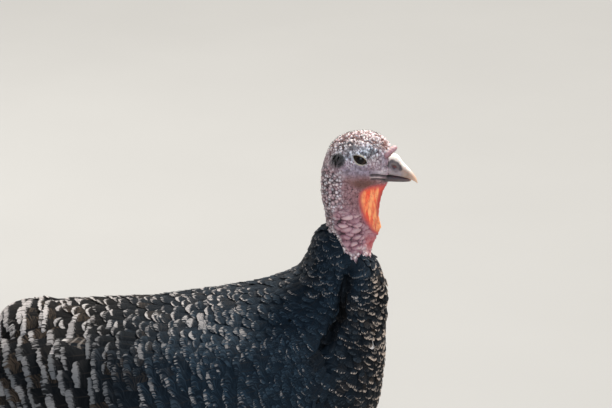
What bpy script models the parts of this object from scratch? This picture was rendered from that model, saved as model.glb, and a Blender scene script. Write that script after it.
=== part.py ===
"""A life-size domestic turkey hen, standing and looking ahead.

The bird faces +X, its left side is +Y and the floor is at z = 0. Lengths in the tables are in
millimetres and angles in degrees; every point is turned into metres when it is placed.
"""
import math
import random

import bmesh
import bpy
from mathutils import Matrix, Vector

MM = 0.001
GAP = 0.3 * MM
STEP = 0.01
SIDES = {"right": -1, "left": 1}

# The trunk, neck and head are one form. Each row is a flat section through it, from the rump to
# the root of the bill: x and z on the back, x and z on the belly or throat, half the width, and
# how far down from the back the section is widest.
BODY = [
    (-98, 394, -86, 346, 24, 0.45),
    (-77, 422, -60, 302, 50, 0.42),
    (-36, 430, -24, 258, 72, 0.42),
    (16, 432, 24, 228, 88, 0.42),
    (72, 434, 84, 211, 96, 0.42),
    (128, 442, 144, 211, 98, 0.42),
    (176, 450, 206, 226, 95, 0.43),
    (207, 460, 262, 258, 87, 0.45),
    (225, 471, 305, 305, 73, 0.48),
    (233, 484, 316, 353, 58, 0.50),
    (237, 496, 317, 402, 46, 0.50),
    (242, 507, 318, 441, 38, 0.50),
    (248, 514, 311, 469, 32, 0.50),
    (254, 519, 301, 484, 28, 0.50),
    (253, 532, 297, 505, 24.5, 0.50),
    (250, 546, 294, 530, 22, 0.50),
    (249, 560, 292, 548, 20.5, 0.48),
    (249.5, 575, 295, 555, 20.5, 0.46),
    (253, 593, 299.5, 558, 21, 0.44),
    (260.5, 608, 303, 560, 21, 0.44),
    (274, 617, 306.5, 561, 20.5, 0.44),
    (289, 620, 310, 562, 19, 0.44),
    (302, 619, 313.5, 563, 17, 0.46),
    (313, 614, 316.5, 564, 14.5, 0.50),
    (319.5, 606, 319, 565, 11, 0.55),
]
RUMP = 0
NECK_ROOT = 10
BARE_EDGE = 13
NAPE = 16.6
BILL_ROOT = 24

# The surface that the folded wings lie along: the flanks, carried on behind the rump.
FOLD = [
    (-176, 372, -150, 290, 52, 0.42),
    (-130, 392, -110, 288, 66, 0.42),
    (-84, 414, -66, 276, 79, 0.42),
    (-38, 427, -24, 256, 89, 0.42),
] + BODY[3:10]

BLACK = (0.012, 0.013, 0.016, 1)
SKIN = (0.52, 0.34, 0.36, 1)
SCALES = (0.20, 0.12, 0.11, 1)
HORN = (0.62, 0.47, 0.36, 1)


def clear_scene():
    for thing in list(bpy.data.objects):
        bpy.data.objects.remove(thing, do_unlink=True)


def material(name, colour, roughness, metallic=0.0):
    """A plain finish that several nodes may share."""
    found = bpy.data.materials.get(name)
    if found:
        return found
    made = bpy.data.materials.new(name)
    made.use_nodes = True
    shader = made.node_tree.nodes["Principled BSDF"]
    shader.inputs["Base Color"].default_value = colour
    shader.inputs["Roughness"].default_value = roughness
    shader.inputs["Metallic"].default_value = metallic
    return made


def plumage():
    return material("black plumage", BLACK, 0.45)


def bare_skin():
    return material("bare skin", SKIN, 0.55)


def leg_scales():
    return material("leg scales", SCALES, 0.5)


def bill_horn():
    return material("bill horn", HORN, 0.4)


def new_object(name, bm, finish):
    """Close a bmesh into an object whose faces point out."""
    bmesh.ops.recalc_face_normals(bm, faces=bm.faces[:])
    mesh = bpy.data.meshes.new(name)
    bm.to_mesh(mesh)
    bm.free()
    mesh.materials.append(finish)
    made = bpy.data.objects.new(name, mesh)
    bpy.context.scene.collection.objects.link(made)
    return made


def apply_modifiers(target):
    bpy.context.view_layer.update()
    graph = bpy.context.evaluated_depsgraph_get()
    mesh = bpy.data.meshes.new_from_object(target.evaluated_get(graph))
    target.modifiers.clear()
    target.data = mesh


def keep_largest(target):
    """Drop loose scraps and sealed hollows: only the largest closed surface stays."""
    bm = bmesh.new()
    bm.from_mesh(target.data)
    unseen = set(bm.faces)
    shells = []
    while unseen:
        shell = [unseen.pop()]
        for face in shell:
            for edge in face.edges:
                for other in edge.link_faces:
                    if other in unseen:
                        unseen.discard(other)
                        shell.append(other)
        shells.append(shell)
    shells.sort(key=lambda shell: sum(face.calc_area() for face in shell))
    loose = [face for shell in shells[:-1] for face in shell]
    bmesh.ops.delete(bm, geom=loose, context="FACES")
    bm.to_mesh(target.data)
    bm.free()


def fuse(core, pieces):
    """Join closed pieces to a core in one union."""
    group = bpy.data.collections.new(core.name + " pieces")
    bpy.context.scene.collection.children.link(group)
    for piece in pieces:
        group.objects.link(piece)
    union = core.modifiers.new("union", "BOOLEAN")
    union.operation = "UNION"
    union.operand_type = "COLLECTION"
    union.collection = group
    union.solver = "EXACT"
    apply_modifiers(core)
    for piece in pieces:
        bpy.data.objects.remove(piece, do_unlink=True)
    bpy.data.collections.remove(group)
    keep_largest(core)


def swollen(neighbour, gap):
    """A copy of a neighbour, grown along its normals by the gap."""
    copy = neighbour.copy()
    copy.data = neighbour.data.copy()
    bpy.context.scene.collection.objects.link(copy)
    bm = bmesh.new()
    bm.from_mesh(copy.data)
    bmesh.ops.remove_doubles(bm, verts=bm.verts[:], dist=0.001 * MM)
    bm.normal_update()
    for vert in bm.verts:
        vert.co += vert.normal * gap * vert.calc_shell_factor()
    bm.to_mesh(copy.data)
    bm.free()
    return copy


def cut(target, cutter):
    """Take a cutter's space out of the target; the cutter is used up."""
    trim = target.modifiers.new("cut", "BOOLEAN")
    trim.operation = "DIFFERENCE"
    trim.object = cutter
    trim.solver = "EXACT"
    apply_modifiers(target)
    bpy.data.objects.remove(cutter, do_unlink=True)
    keep_largest(target)


def clear_of(target, *neighbours):
    """Trim the target so that it meets each neighbour face to face with the usual gap."""
    for neighbour in neighbours:
        cut(target, swollen(neighbour, GAP))


def smooth_row(rows, place):
    """The row at a place between the numbered rows, on a curve through them."""
    last = len(rows) - 1
    place = min(max(place, 0.0), float(last))
    i = min(int(place), last - 1)
    t = place - i
    a = rows[max(i - 1, 0)]
    b = rows[i]
    c = rows[i + 1]
    d = rows[min(i + 2, last)]
    row = []
    for p, q, r, s in zip(a, b, c, d):
        bend = (2 * p - 5 * q + 4 * r - s) * t + (3 * (q - r) + s - p) * t * t
        row.append(q + 0.5 * t * (r - p + bend))
    return row


def lerp(a, b, t):
    return a + (b - a) * t


def ramp(low, high, value):
    """0 at low, 1 at high and beyond, with a smooth step between."""
    t = min(max((value - low) / (high - low), 0.0), 1.0)
    return t * t * (3 - 2 * t)


def hump(value, centre, spread):
    return math.exp(-((value - centre) / spread) ** 2)


def surface_point(rows, place, turn):
    """A point of a lofted form. turn is 0 on the back, 180 on the belly, positive to the left."""
    back_x, back_z, belly_x, belly_z, half, widest = smooth_row(rows, place)
    angle = math.radians(turn)
    down = -math.cos(angle)
    share = widest + (widest if down < 0 else 1 - widest) * down
    x = lerp(back_x, belly_x, share)
    z = lerp(back_z, belly_z, share)
    return Vector((x, half * math.sin(angle), z)) * MM


def surface_normal(rows, place, turn):
    last = len(rows) - 1
    behind = surface_point(rows, max(place - STEP, 0), turn)
    ahead = surface_point(rows, min(place + STEP, last), turn)
    near = surface_point(rows, place, turn - 1)
    far = surface_point(rows, place, turn + 1)
    return (ahead - behind).cross(far - near).normalized()


def raised_point(rows, place, turn, lift):
    """A surface point raised along the normal; lift is in millimetres."""
    return surface_point(rows, place, turn) + surface_normal(rows, place, turn) * (lift * MM)


def close_ends(bm):
    """Fill the open ends, and split every face into triangles so that a grown copy has the same."""
    rim = [edge for edge in bm.edges if edge.is_boundary]
    if rim:
        bmesh.ops.holes_fill(bm, edges=rim, sides=0)
    bmesh.ops.triangulate(bm, faces=bm.faces[:])


def wrapped(name, point_at, rings, around, finish):
    """Wrap a sheet into a closed tube. point_at takes the place along, 0 to 1, and the turn."""
    bm = bmesh.new()
    bmesh.ops.create_grid(bm, x_segments=around, y_segments=rings, size=1.0)
    for vert in bm.verts:
        turn = 180 * vert.co.x
        along = (vert.co.y + 1) / 2
        vert.co = point_at(along, turn)
    bmesh.ops.remove_doubles(bm, verts=bm.verts[:], dist=0.01 * MM)
    close_ends(bm)
    return new_object(name, bm, finish)


def body_length(name, start, end, rings, around, finish, relief=None):
    """A length of the body between two places, set back from both ends by half the gap."""
    start_gap = 0.5 * GAP * (start > RUMP)
    end_gap = 0.5 * GAP

    def point_at(along, turn):
        place = lerp(start, end, along)
        lift = relief(place, turn) if relief else 0.0
        point = raised_point(BODY, place, turn, lift)
        if along in (0.0, 1.0):
            point = surface_point(BODY, place, turn)
            axis = section_axis(place)
            point += axis * (start_gap if along == 0.0 else -end_gap)
        return point

    return wrapped(name, point_at, rings, around, finish)


def section_axis(place):
    """The forward normal of the flat section at a place."""
    back = surface_point(BODY, place, 0)
    belly = surface_point(BODY, place, 180)
    down = (belly - back).normalized()
    return Vector((-down.z, 0, down.x))


def make_torso():
    return body_length("torso", RUMP, NECK_ROOT, 20, 24, plumage())


def make_neck():
    return body_length("neck", NECK_ROOT, BARE_EDGE, 6, 24, plumage())


CARUNCLE_ROWS = 7
CARUNCLES_AROUND = 10
CARUNCLE_HEIGHTS = (3.6, 1.8)
CARUNCLE_SINK = 0.6
UNDER_WATTLE = (135, 160)
BEAD_SEED = 7


def bead_sizes(seed):
    """How much each caruncle stands out against the others, by row and column."""
    draw = random.Random(seed)
    return [[draw.uniform(0.55, 1.25) for _ in range(CARUNCLES_AROUND)] for _ in range(CARUNCLE_ROWS)]


BEADS = bead_sizes(BEAD_SEED)


def caruncle_relief(place, turn):
    """Rows of flattened bulbs round the bare neck, larger low on the front."""
    down = (place - BARE_EDGE) / (NAPE - BARE_EDGE)
    row = down * CARUNCLE_ROWS
    level = min(int(row + 1e-6), CARUNCLE_ROWS - 1)
    column = (turn + 180) / 360 * CARUNCLES_AROUND
    index = int(column + 1e-6) % CARUNCLES_AROUND
    bulge = abs(math.sin(math.pi * row)) * abs(math.sin(math.pi * column))
    height = lerp(CARUNCLE_HEIGHTS[0], CARUNCLE_HEIGHTS[1], down) * BEADS[level][index]
    under_wattle = 1 - 0.85 * ramp(UNDER_WATTLE[0], UNDER_WATTLE[1], abs(turn))
    return height * bulge ** 0.7 * under_wattle - CARUNCLE_SINK


def make_bare_neck():
    rings = 3 * CARUNCLE_ROWS
    around = 3 * CARUNCLES_AROUND
    return body_length("neck_bare", BARE_EDGE, NAPE, rings, around, bare_skin(), caruncle_relief)


EYE_PLACE = (288.5, 12.6, 594.0)
EYE_RADIUS = 8.7
EYE_SLANT = 30

# Hollows and swellings of the head: place, turn, spread along, spread around and height.
SOCKET = (20.0, 88, 0.62, 26, -2.5)
BROW = (20.2, 52, 1.1, 14, 1.6)
CHEEK = (19.4, 122, 1.0, 22, 1.2)
PAPILLA_HEIGHTS = (1.1, -0.2)
LID_HALVES = (8.6, 6.0)
LID_THICKNESS = 2.2
LID_SINK = 0.8
EAR_PLACE = (266.0, 21.8, 593.5)
EAR_SIZE = (7.0, 4.5, 5.2)
EAR_SLANT = 28
GAPE = (299.5, 573.5)
MOUTH_FRONT = (322.0, 570.3)
MOUTH_INNER = 9.0
MOUTH_SLIT = 0.9
HEAD_RINGS = 20
HEAD_AROUND = 28


def head_relief(place, turn):
    """Brow, eye socket, cheek and the papillae of the crown, on both sides alike."""
    side_turn = abs(turn)
    relief = 0.0
    for at, middle, long, high, height in (SOCKET, BROW, CHEEK):
        relief += height * hump(place, at, long) * hump(side_turn, middle, high)
    ring = round((place - NAPE) / (BILL_ROOT - NAPE) * HEAD_RINGS)
    column = round((turn + 180) / 360 * HEAD_AROUND)
    papilla = PAPILLA_HEIGHTS[(ring + column) % 2]
    crown = ramp(75, 35, side_turn) * ramp(BILL_ROOT, BILL_ROOT - 1.2, place)
    return relief + papilla * crown


def ball(name, centre, size, slant, detail, finish):
    """An egg-shaped ball, turned about the Y axis by slant."""
    bm = bmesh.new()
    bmesh.ops.create_uvsphere(bm, u_segments=detail, v_segments=detail // 2 + 1, radius=MM)
    bmesh.ops.rotate(bm, verts=bm.verts[:], matrix=Matrix.Rotation(math.radians(90), 3, "X"))
    bmesh.ops.scale(bm, verts=bm.verts[:], vec=Vector(size))
    bmesh.ops.rotate(bm, verts=bm.verts[:], matrix=Matrix.Rotation(math.radians(slant), 3, "Y"))
    bmesh.ops.translate(bm, verts=bm.verts[:], vec=Vector(centre) * MM)
    return new_object(name, bm, finish)


def lid_ring(side):
    """The pair of lids: a fold of skin in an almond round the eye."""
    bm = bmesh.new()
    bmesh.ops.create_grid(bm, x_segments=5, y_segments=13, size=1.0)
    slant = Matrix.Rotation(math.radians(EYE_SLANT), 3, "Y")
    centre = Vector(EYE_PLACE)
    reach = EYE_RADIUS * 1.035
    for vert in bm.verts:
        around = math.pi * vert.co.y
        fold = math.pi * vert.co.x
        spread = 1 + LID_THICKNESS * math.cos(fold) / LID_HALVES[1]
        wide = LID_HALVES[0] * math.cos(around)
        high = LID_HALVES[1] * math.sin(around)
        out = math.sqrt(max(reach ** 2 - wide ** 2 - high ** 2, 0)) - LID_SINK
        out += LID_THICKNESS * math.sin(fold)
        point = centre + slant @ Vector((wide * spread, out, high * spread))
        vert.co = Vector((point.x, side * point.y, point.z)) * MM
    bmesh.ops.remove_doubles(bm, verts=bm.verts[:], dist=0.01 * MM)
    return new_object("lids", bm, bare_skin())


def mouth_blade(side):
    """The thin space of the closed mouth, from the gape to the root of the bill."""
    start = Vector((GAPE[0], 0, GAPE[1]))
    end = Vector((MOUTH_FRONT[0], 0, MOUTH_FRONT[1]))
    bm = bmesh.new()
    bmesh.ops.create_cube(bm, size=1.0)
    size = Vector(((end - start).length, 20.0, MOUTH_SLIT)) * MM
    bmesh.ops.scale(bm, verts=bm.verts[:], vec=size)
    pitch = math.atan2(start.z - end.z, end.x - start.x)
    bmesh.ops.rotate(bm, verts=bm.verts[:], matrix=Matrix.Rotation(pitch, 3, "Y"))
    middle = (start + end) / 2
    middle.y = side * (MOUTH_INNER + 10.0)
    bmesh.ops.translate(bm, verts=bm.verts[:], vec=middle * MM)
    return new_object("mouth", bm, bare_skin())


def make_head_form(name):
    """The head without its openings and lids, which its neighbours are also trimmed to."""
    return body_length(name, NAPE, BILL_ROOT, HEAD_RINGS, HEAD_AROUND, bare_skin(), head_relief)


def make_head():
    head = make_head_form("head")
    fuse(head, [lid_ring(side) for side in SIDES.values()])
    for side in SIDES.values():
        x, y, z = EAR_PLACE
        cut(head, ball("ear cup", (x, side * y, z), EAR_SIZE, -EAR_SLANT, 12, bare_skin()))
        cut(head, mouth_blade(side))
    return head


def make_eye(name, side, head):
    x, y, z = EYE_PLACE
    size = (EYE_RADIUS, EYE_RADIUS, EYE_RADIUS)
    eye = ball(name, (x, side * y, z), size, 0, 12, material("eye", (0.01, 0.007, 0.005, 1), 0.1))
    cut(head, swollen(eye, GAP))
    return eye


# The upper bill, from its root to the hook: x, top z, edge z and half the width.
UPPER_BILL = [
    (320.4, 595.0, 570.6, 9.0),
    (325.0, 595.0, 570.2, 8.2),
    (331.0, 591.0, 569.6, 7.2),
    (337.0, 583.8, 568.6, 6.0),
    (343.5, 575.6, 566.6, 4.3),
    (347.6, 568.8, 563.8, 2.4),
    (349.4, 563.6, 562.2, 0.7),
]
LOWER_BILL = [
    (320.2, 570.1, 564.0, 8.4),
    (326.0, 569.7, 563.8, 7.0),
    (333.0, 569.0, 563.9, 5.2),
    (339.0, 567.9, 564.2, 3.0),
    (342.4, 566.6, 564.8, 0.8),
]


def bill_half(name, rows, rings, flat_above, finish):
    """One half of the bill: arched on one side, nearly flat where the halves close."""

    def point_at(along, turn):
        x, top, bottom, half = smooth_row(rows, along * (len(rows) - 1))
        angle = math.radians(turn)
        up = math.cos(angle)
        middle = lerp(top, bottom, 0.25 if flat_above else 0.8)
        z = middle + up * ((top - middle) if up > 0 else (middle - bottom))
        y = half * math.copysign(abs(math.sin(angle)) ** 0.8, math.sin(angle))
        return Vector((x, y, z)) * MM

    return wrapped(name, point_at, rings, 12, finish)


NOSTRIL_PLACE = (326.5, 8.6, 583.8)
NOSTRIL_SIZE = (3.4, 2.4, 1.5)
NOSTRIL_SLANT = 32


def make_bill():
    upper = bill_half("bill_upper", UPPER_BILL, 10, False, bill_horn())
    bill_half("bill_lower", LOWER_BILL, 6, True, bill_horn())
    for side in SIDES.values():
        x, y, z = NOSTRIL_PLACE
        nostril = ball("nostril", (x, side * y, z), NOSTRIL_SIZE, NOSTRIL_SLANT, 10, bill_horn())
        cut(upper, nostril)
    return upper


SNOOD_LINE = [(312.5, 0.0, 588.0), (319.0, 0.0, 594.5), (327.0, 0.0, 602.0)]
SNOOD_RADII = [(4.2,), (3.2,), (2.6,), (2.6,), (1.0,)]


def limb(name, ends, radii, rings, around, finish, flat=1.0):
    """A round limb along a straight or bent line, its radii read along the same line."""
    bm = bmesh.new()
    bmesh.ops.create_grid(bm, x_segments=around, y_segments=rings, size=1.0)
    for vert in bm.verts:
        along = (vert.co.y + 1) / 2
        angle = math.radians(180 * vert.co.x)
        place = along * (len(ends) - 1)
        centre = Vector(smooth_row(ends, place))
        ahead = Vector(smooth_row(ends, min(place + STEP, len(ends) - 1)))
        behind = Vector(smooth_row(ends, max(place - STEP, 0)))
        axis = (ahead - behind).normalized()
        across = axis.cross(Vector((0, 1, 0))).normalized()
        side = axis.cross(across)
        radius = smooth_row(radii, along * (len(radii) - 1))[0]
        offset = across * math.cos(angle) + side * math.sin(angle) * flat
        vert.co = (centre + offset * radius) * MM
    bmesh.ops.remove_doubles(bm, verts=bm.verts[:], dist=0.01 * MM)
    close_ends(bm)
    return new_object(name, bm, finish)


def make_snood(head, bill):
    snood = limb("snood", SNOOD_LINE, SNOOD_RADII, 8, 10, bare_skin())
    clear_of(snood, head, bill)
    return snood


# The loose skin under the chin and down the throat: z, front x, back x and half the thickness.
WATTLE = [
    (564.5, 317.0, 303.0, 2.0),
    (555.0, 313.0, 289.0, 3.4),
    (542.0, 311.0, 287.0, 4.0),
    (529.0, 308.0, 288.0, 4.2),
    (521.0, 309.0, 289.0, 4.4),
    (514.0, 311.5, 290.0, 4.6),
    (507.0, 308.0, 291.0, 4.4),
    (498.0, 303.5, 292.0, 3.6),
    (488.0, 298.5, 293.0, 2.0),
]
WATTLE_FOLDS = 2.5
FOLD_DEPTH = 1.1


def make_wattle(*neighbours):
    """A thin hanging fold of skin, creased from top to bottom."""

    def point_at(along, turn):
        z, front, back, half = smooth_row(WATTLE, along * (len(WATTLE) - 1))
        angle = math.radians(turn)
        share = (1 + math.cos(angle)) / 2
        x = lerp(back, front, share)
        crease = math.sin(2 * math.pi * (WATTLE_FOLDS * share + along))
        fade = math.sin(math.pi * along)
        y = half * math.sin(angle) + FOLD_DEPTH * crease * share * fade
        return Vector((x, y, z)) * MM

    wattle = wrapped("wattle", point_at, 12, 12, bare_skin())
    clear_of(wattle, *neighbours)
    return wattle


# One feather vane, from its root to its tip: its half width against the widest place.
VANE_OUTLINE = [(0.45,), (0.90,), (1.0,), (0.94,), (0.30,)]
VANE_QUILL = 0.9
VANE_EDGE = 0.5


def leaf(rows):
    """A leaf in its own space: x across, -1 to 1, y from root to tip and z 0 below, 1 above."""
    bm = bmesh.new()
    bmesh.ops.create_grid(bm, x_segments=2, y_segments=rows, size=1.0)
    bmesh.ops.triangulate(bm, faces=bm.faces[:])
    grown = bmesh.ops.extrude_face_region(bm, geom=bm.faces[:], use_keep_orig=True)
    for part in grown["geom"]:
        if isinstance(part, bmesh.types.BMVert):
            part.co.z = 1
    for vert in bm.verts:
        vert.co.y = (vert.co.y + 1) / 2
    return bm


def vane(point_at, root, tip, half, lifts, tilt=0.0, rows=4, limit=None):
    """A vane between two places of a surface that point_at gives, raised off it by the lifts.

    One edge stands higher than the other by twice the tilt, so that neighbours overlap like tiles.
    """
    bm = leaf(rows)
    for vert in bm.verts:
        across, step, upper = vert.co
        along = 1 - (1 - step) ** 1.6
        width = half * smooth_row(VANE_OUTLINE, along * (len(VANE_OUTLINE) - 1))[0]
        a = lerp(root[0], tip[0], along)
        b = lerp(root[1], tip[1], along) + across * width
        if limit:
            b = limit(b)
        thick = lerp(VANE_QUILL, VANE_EDGE, abs(across)) * lerp(1.0, 0.6, along)
        lift = lerp(lifts[0], lifts[1], along) + tilt * across * ramp(0, 0.45, along)
        vert.co = point_at(a, b, lift + thick * upper)
    bmesh.ops.triangulate(bm, faces=bm.faces[:])
    return new_object("vane", bm, plumage())


def shell_core(name, point_at, columns, rows, top, bottom):
    """The thin flesh and small feathers that carry a tier: a sheet between two heights."""
    bm = bmesh.new()
    bmesh.ops.create_grid(bm, x_segments=columns, y_segments=rows, size=1.0)
    bmesh.ops.triangulate(bm, faces=bm.faces[:])
    grown = bmesh.ops.extrude_face_region(bm, geom=bm.faces[:], use_keep_orig=True)
    outer = {part for part in grown["geom"] if isinstance(part, bmesh.types.BMVert)}
    for vert in bm.verts:
        across = (vert.co.x + 1) / 2
        along = (vert.co.y + 1) / 2
        lift = top(along, across) if vert in outer else bottom
        vert.co = point_at(along, across, lift)
    bmesh.ops.triangulate(bm, faces=bm.faces[:])
    return new_object(name, bm, plumage())


# The folded wing on its own surface: where it starts and ends, and its upper and lower edge.
WING_FRONT = 9.0
WING_BACK = 0.0
WING_EDGES = [(62, 96), (50, 112), (44, 118), (42, 118), (44, 112), (50, 100), (58, 86)]
WING_CORE_END = 0.76
WING_DEPTH = [(3.0,), (9.0,), (11.0,), (9.5,), (7.0,), (5.0,), (2.2,)]

# The tiers of the wing, from the shoulder back: where the roots and tips lie along the wing, how
# many vanes, the first and last across it, half their width and how many rows of faces they take.
WING_TIERS = [
    (0.10, 0.40, 5, 0.12, 0.88, 0.130, 3),
    (0.24, 0.58, 6, 0.08, 0.91, 0.115, 3),
    (0.38, 0.81, 7, 0.06, 0.76, 0.100, 3),
    (0.50, 1.00, 5, 0.56, 0.92, 0.085, 3),
]
VANE_SINK = -4.0
CORE_DROP = 1.2
ROOT_FLOOR = 1.8
VANE_RISE = 4.6
TILE_TILT = 0.9
TIP_SCATTER = 0.012


def wing_place(along, across, lift):
    """A point on the right-hand wing; along runs from the wrist back, across from top to edge."""
    upper, lower = smooth_row(WING_EDGES, along * (len(WING_EDGES) - 1))
    place = lerp(WING_FRONT, WING_BACK, along)
    return raised_point(FOLD, place, lerp(upper, lower, across), lift)


def wing_depth(along, across):
    """How thick the wing's core is; it thins to its edges."""
    share = min(along / WING_CORE_END, 1.0)
    depth = smooth_row(WING_DEPTH, share * (len(WING_DEPTH) - 1))[0]
    across = min(max(across, 0.0), 1.0)
    return lerp(2.0, depth, math.sin(math.pi * across) ** 0.5)


def make_wing(name, side, torso):
    """The folded wing: a core with four tiers of vanes, the flight feathers last and longest."""
    draw = random.Random(name)

    def place(along, across, lift):
        point = wing_place(along, across, lift)
        point.y *= side
        return point

    def over_core(along, across, lift):
        depth = wing_depth(along, across) if along < WING_CORE_END else 2.0
        return place(along, across, max(depth + lift, ROOT_FLOOR))

    def core_place(along, across, lift):
        return place(along * WING_CORE_END, across, lift)

    def core_top(along, across):
        return wing_depth(along * WING_CORE_END, across) - CORE_DROP

    wing = shell_core(name, core_place, 5, 8, core_top, -3.0)
    vanes = []
    for start, end, count, first, last, half, rows in WING_TIERS:
        for i in range(count):
            across = lerp(first, last, i / (count - 1))
            tip = (end + draw.uniform(-TIP_SCATTER, TIP_SCATTER), lerp(across, 0.5, 0.12))
            if end == 1.0:
                tip = (end - 0.035 * (count - 1 - i), lerp(across, 0.5, 0.25))
            lifts = (VANE_SINK, VANE_RISE)
            vanes.append(vane(over_core, (start, across), tip, half, lifts, TILE_TILT, rows))
    clear_of(wing, torso)
    fuse(wing, vanes)
    return wing


TAIL_ROOT = Vector((-96.0, 0.0, 372.0))
TAIL_LENGTH = 291
TAIL_DROOP = 28
TAIL_ROOF = 0.30
TAIL_PAIRS = 9
TAIL_VANE_HALF = 23
TAIL_LAYER = 1.3
TAIL_ROOT_STEP = 1.6
TAIL_TIP_STEP = 6.3
TAIL_SAG = 8
TAIL_ROUNDING = 0.13
TAIL_CORE = (-14, 34)
RIDGE_CLEARANCE = 0.8


def tail_place(out, across, lift):
    """A point of the tail: millimetres out from its root, across to the left and up."""
    droop = math.radians(TAIL_DROOP)
    backward = Vector((-math.cos(droop), 0, -math.sin(droop)))
    up = Vector((-math.sin(droop), 0, math.cos(droop)))
    sag = TAIL_SAG * (out / TAIL_LENGTH) ** 2
    point = TAIL_ROOT + backward * out + up * (lift - sag - TAIL_ROOF * abs(across))
    return Vector((point.x, across, point.z)) * MM


def tail_vane(pair, side):
    """One tail feather. The middle pair lies on top and each next pair a layer lower."""
    layer = pair + 1 if pair else (side + 1) / 2
    lift = -0.6 - TAIL_LAYER * layer
    length = TAIL_LENGTH * (1 - TAIL_ROUNDING * (pair / (TAIL_PAIRS - 1)) ** 2)
    root_y = side * TAIL_ROOT_STEP * pair
    tip_y = side * TAIL_TIP_STEP * pair

    def own_side(across):
        return side * max(side * across, RIDGE_CLEARANCE)

    limit = own_side if pair else None
    root = (4, root_y)
    return vane(tail_place, root, (length, tip_y), TAIL_VANE_HALF, (lift, lift), 0, 3, limit)


def make_tail(torso):
    """Eighteen long vanes in a closed fan, on a core that holds their roots."""
    start, end = TAIL_CORE
    half = TAIL_ROOT_STEP * TAIL_PAIRS + 0.6 * TAIL_VANE_HALF

    def core_place(along, across, lift):
        return tail_place(lerp(start, end, along), half * (2 * across - 1), lift)

    def core_top(along, across):
        return lerp(2.0, 0.4, along)

    deepest = -(TAIL_PAIRS + 1.2) * TAIL_LAYER
    tail = shell_core("tail", core_place, 4, 2, core_top, deepest)
    vanes = [tail_vane(pair, side) for pair in range(TAIL_PAIRS) for side in SIDES.values()]
    fuse(tail, vanes)
    clear_of(tail, torso)
    return tail


# The surface of the feathers that cover the root of the tail, from over the tail to the rump.
COVER = [
    (-214, 322, -184, 266, 62, 0.5),
    (-172, 345, -142, 289, 58, 0.5),
    (-132, 368, -102, 312, 54, 0.5),
    (-101, 394, -72, 330, 52, 0.5),
    (-76, 421, -56, 330, 56, 0.5),
    (-36, 430, -24, 300, 74, 0.5),
    (10, 432, 18, 280, 86, 0.5),
]
COVER_TURNS = (30, 62)
COVER_DEPTH = [(2.2,), (5.5,), (7.5,), (6.0,), (2.2,)]
COVER_CORE_END = 0.62

# The tiers of these coverts: root and tip along the surface, count, spread and half width.
COVER_TIERS = [
    (0.16, 0.60, 5, 0.12, 0.88, 0.140),
    (0.42, 0.97, 7, 0.07, 0.93, 0.110),
]


def cover_place(along, across, lift):
    place = lerp(len(COVER) - 1, 0, along)
    widest = lerp(COVER_TURNS[0], COVER_TURNS[1], ramp(0.15, 0.7, along))
    return raised_point(COVER, place, widest * (2 * across - 1), lift)


def cover_depth(along, across):
    share = min(along / COVER_CORE_END, 1.0)
    depth = smooth_row(COVER_DEPTH, share * (len(COVER_DEPTH) - 1))[0]
    across = min(max(across, 0.0), 1.0)
    return lerp(2.0, depth, math.sin(math.pi * across) ** 0.5)


def make_tail_coverts(torso):
    """The rump feathers over the root of the tail: two tiers of broad vanes on a thin saddle."""

    def over_core(along, across, lift):
        depth = cover_depth(along, across) if along < COVER_CORE_END else 2.0
        return cover_place(along, across, max(depth + lift, ROOT_FLOOR))

    def core_place(along, across, lift):
        return cover_place(along * COVER_CORE_END, across, lift)

    def core_top(along, across):
        return cover_depth(along * COVER_CORE_END, across) - CORE_DROP

    coverts = shell_core("tail_coverts", core_place, 6, 6, core_top, -6.0)
    vanes = []
    for start, end, count, first, last, half in COVER_TIERS:
        for i in range(count):
            across = lerp(first, last, i / (count - 1))
            tilt = TILE_TILT if across > 0.5 else -TILE_TILT
            lifts = (VANE_SINK, VANE_RISE)
            vanes.append(vane(over_core, (start, across), (end, across), half, lifts, tilt, 3))
    fuse(coverts, vanes)
    clear_of(coverts, torso)
    return coverts


HIP = (112, 40, 272)
KNEE_FRONT = (110, 47, 224)
HOCK = (53, 50, 143)
ANKLE = (74, 49, 20)


def mirrored(points, side):
    return [(x, y * side, z) for x, y, z in points]


def make_thigh(name, side, torso):
    line = mirrored([HIP, KNEE_FRONT, (83, 51, 180), HOCK], side)
    radii = [(34.0,), (33.0,), (23.0,), (12.5,)]
    thigh = limb(name, line, radii, 8, 12, plumage())
    clear_of(thigh, torso)
    return thigh


def make_shank(name, side, thigh):
    line = mirrored([HOCK, (61, 49.5, 80), ANKLE], side)
    radii = [(9.0,), (10.6,), (7.4,), (6.6,), (6.8,), (8.6,)]
    shank = limb(name, line, radii, 12, 10, leg_scales())
    clear_of(thigh, shank)
    return shank


# Each toe: its turn from straight ahead, its length, its root and tip radius and its root height.
TOES = {
    "middle": (0, 74, 7.2, 4.4),
    "inner": (-34, 54, 6.4, 4.0),
    "outer": (36, 56, 6.4, 4.0),
    "hind": (170, 28, 5.2, 3.6),
}
CLAW_LENGTH = 15


def toe_direction(side, toe):
    turn = math.radians(TOES[toe][0])
    return Vector((math.cos(turn), side * math.sin(turn), 0))


def toe_root(side):
    return Vector((ANKLE[0] + 2, ANKLE[1] * side, 0))


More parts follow.
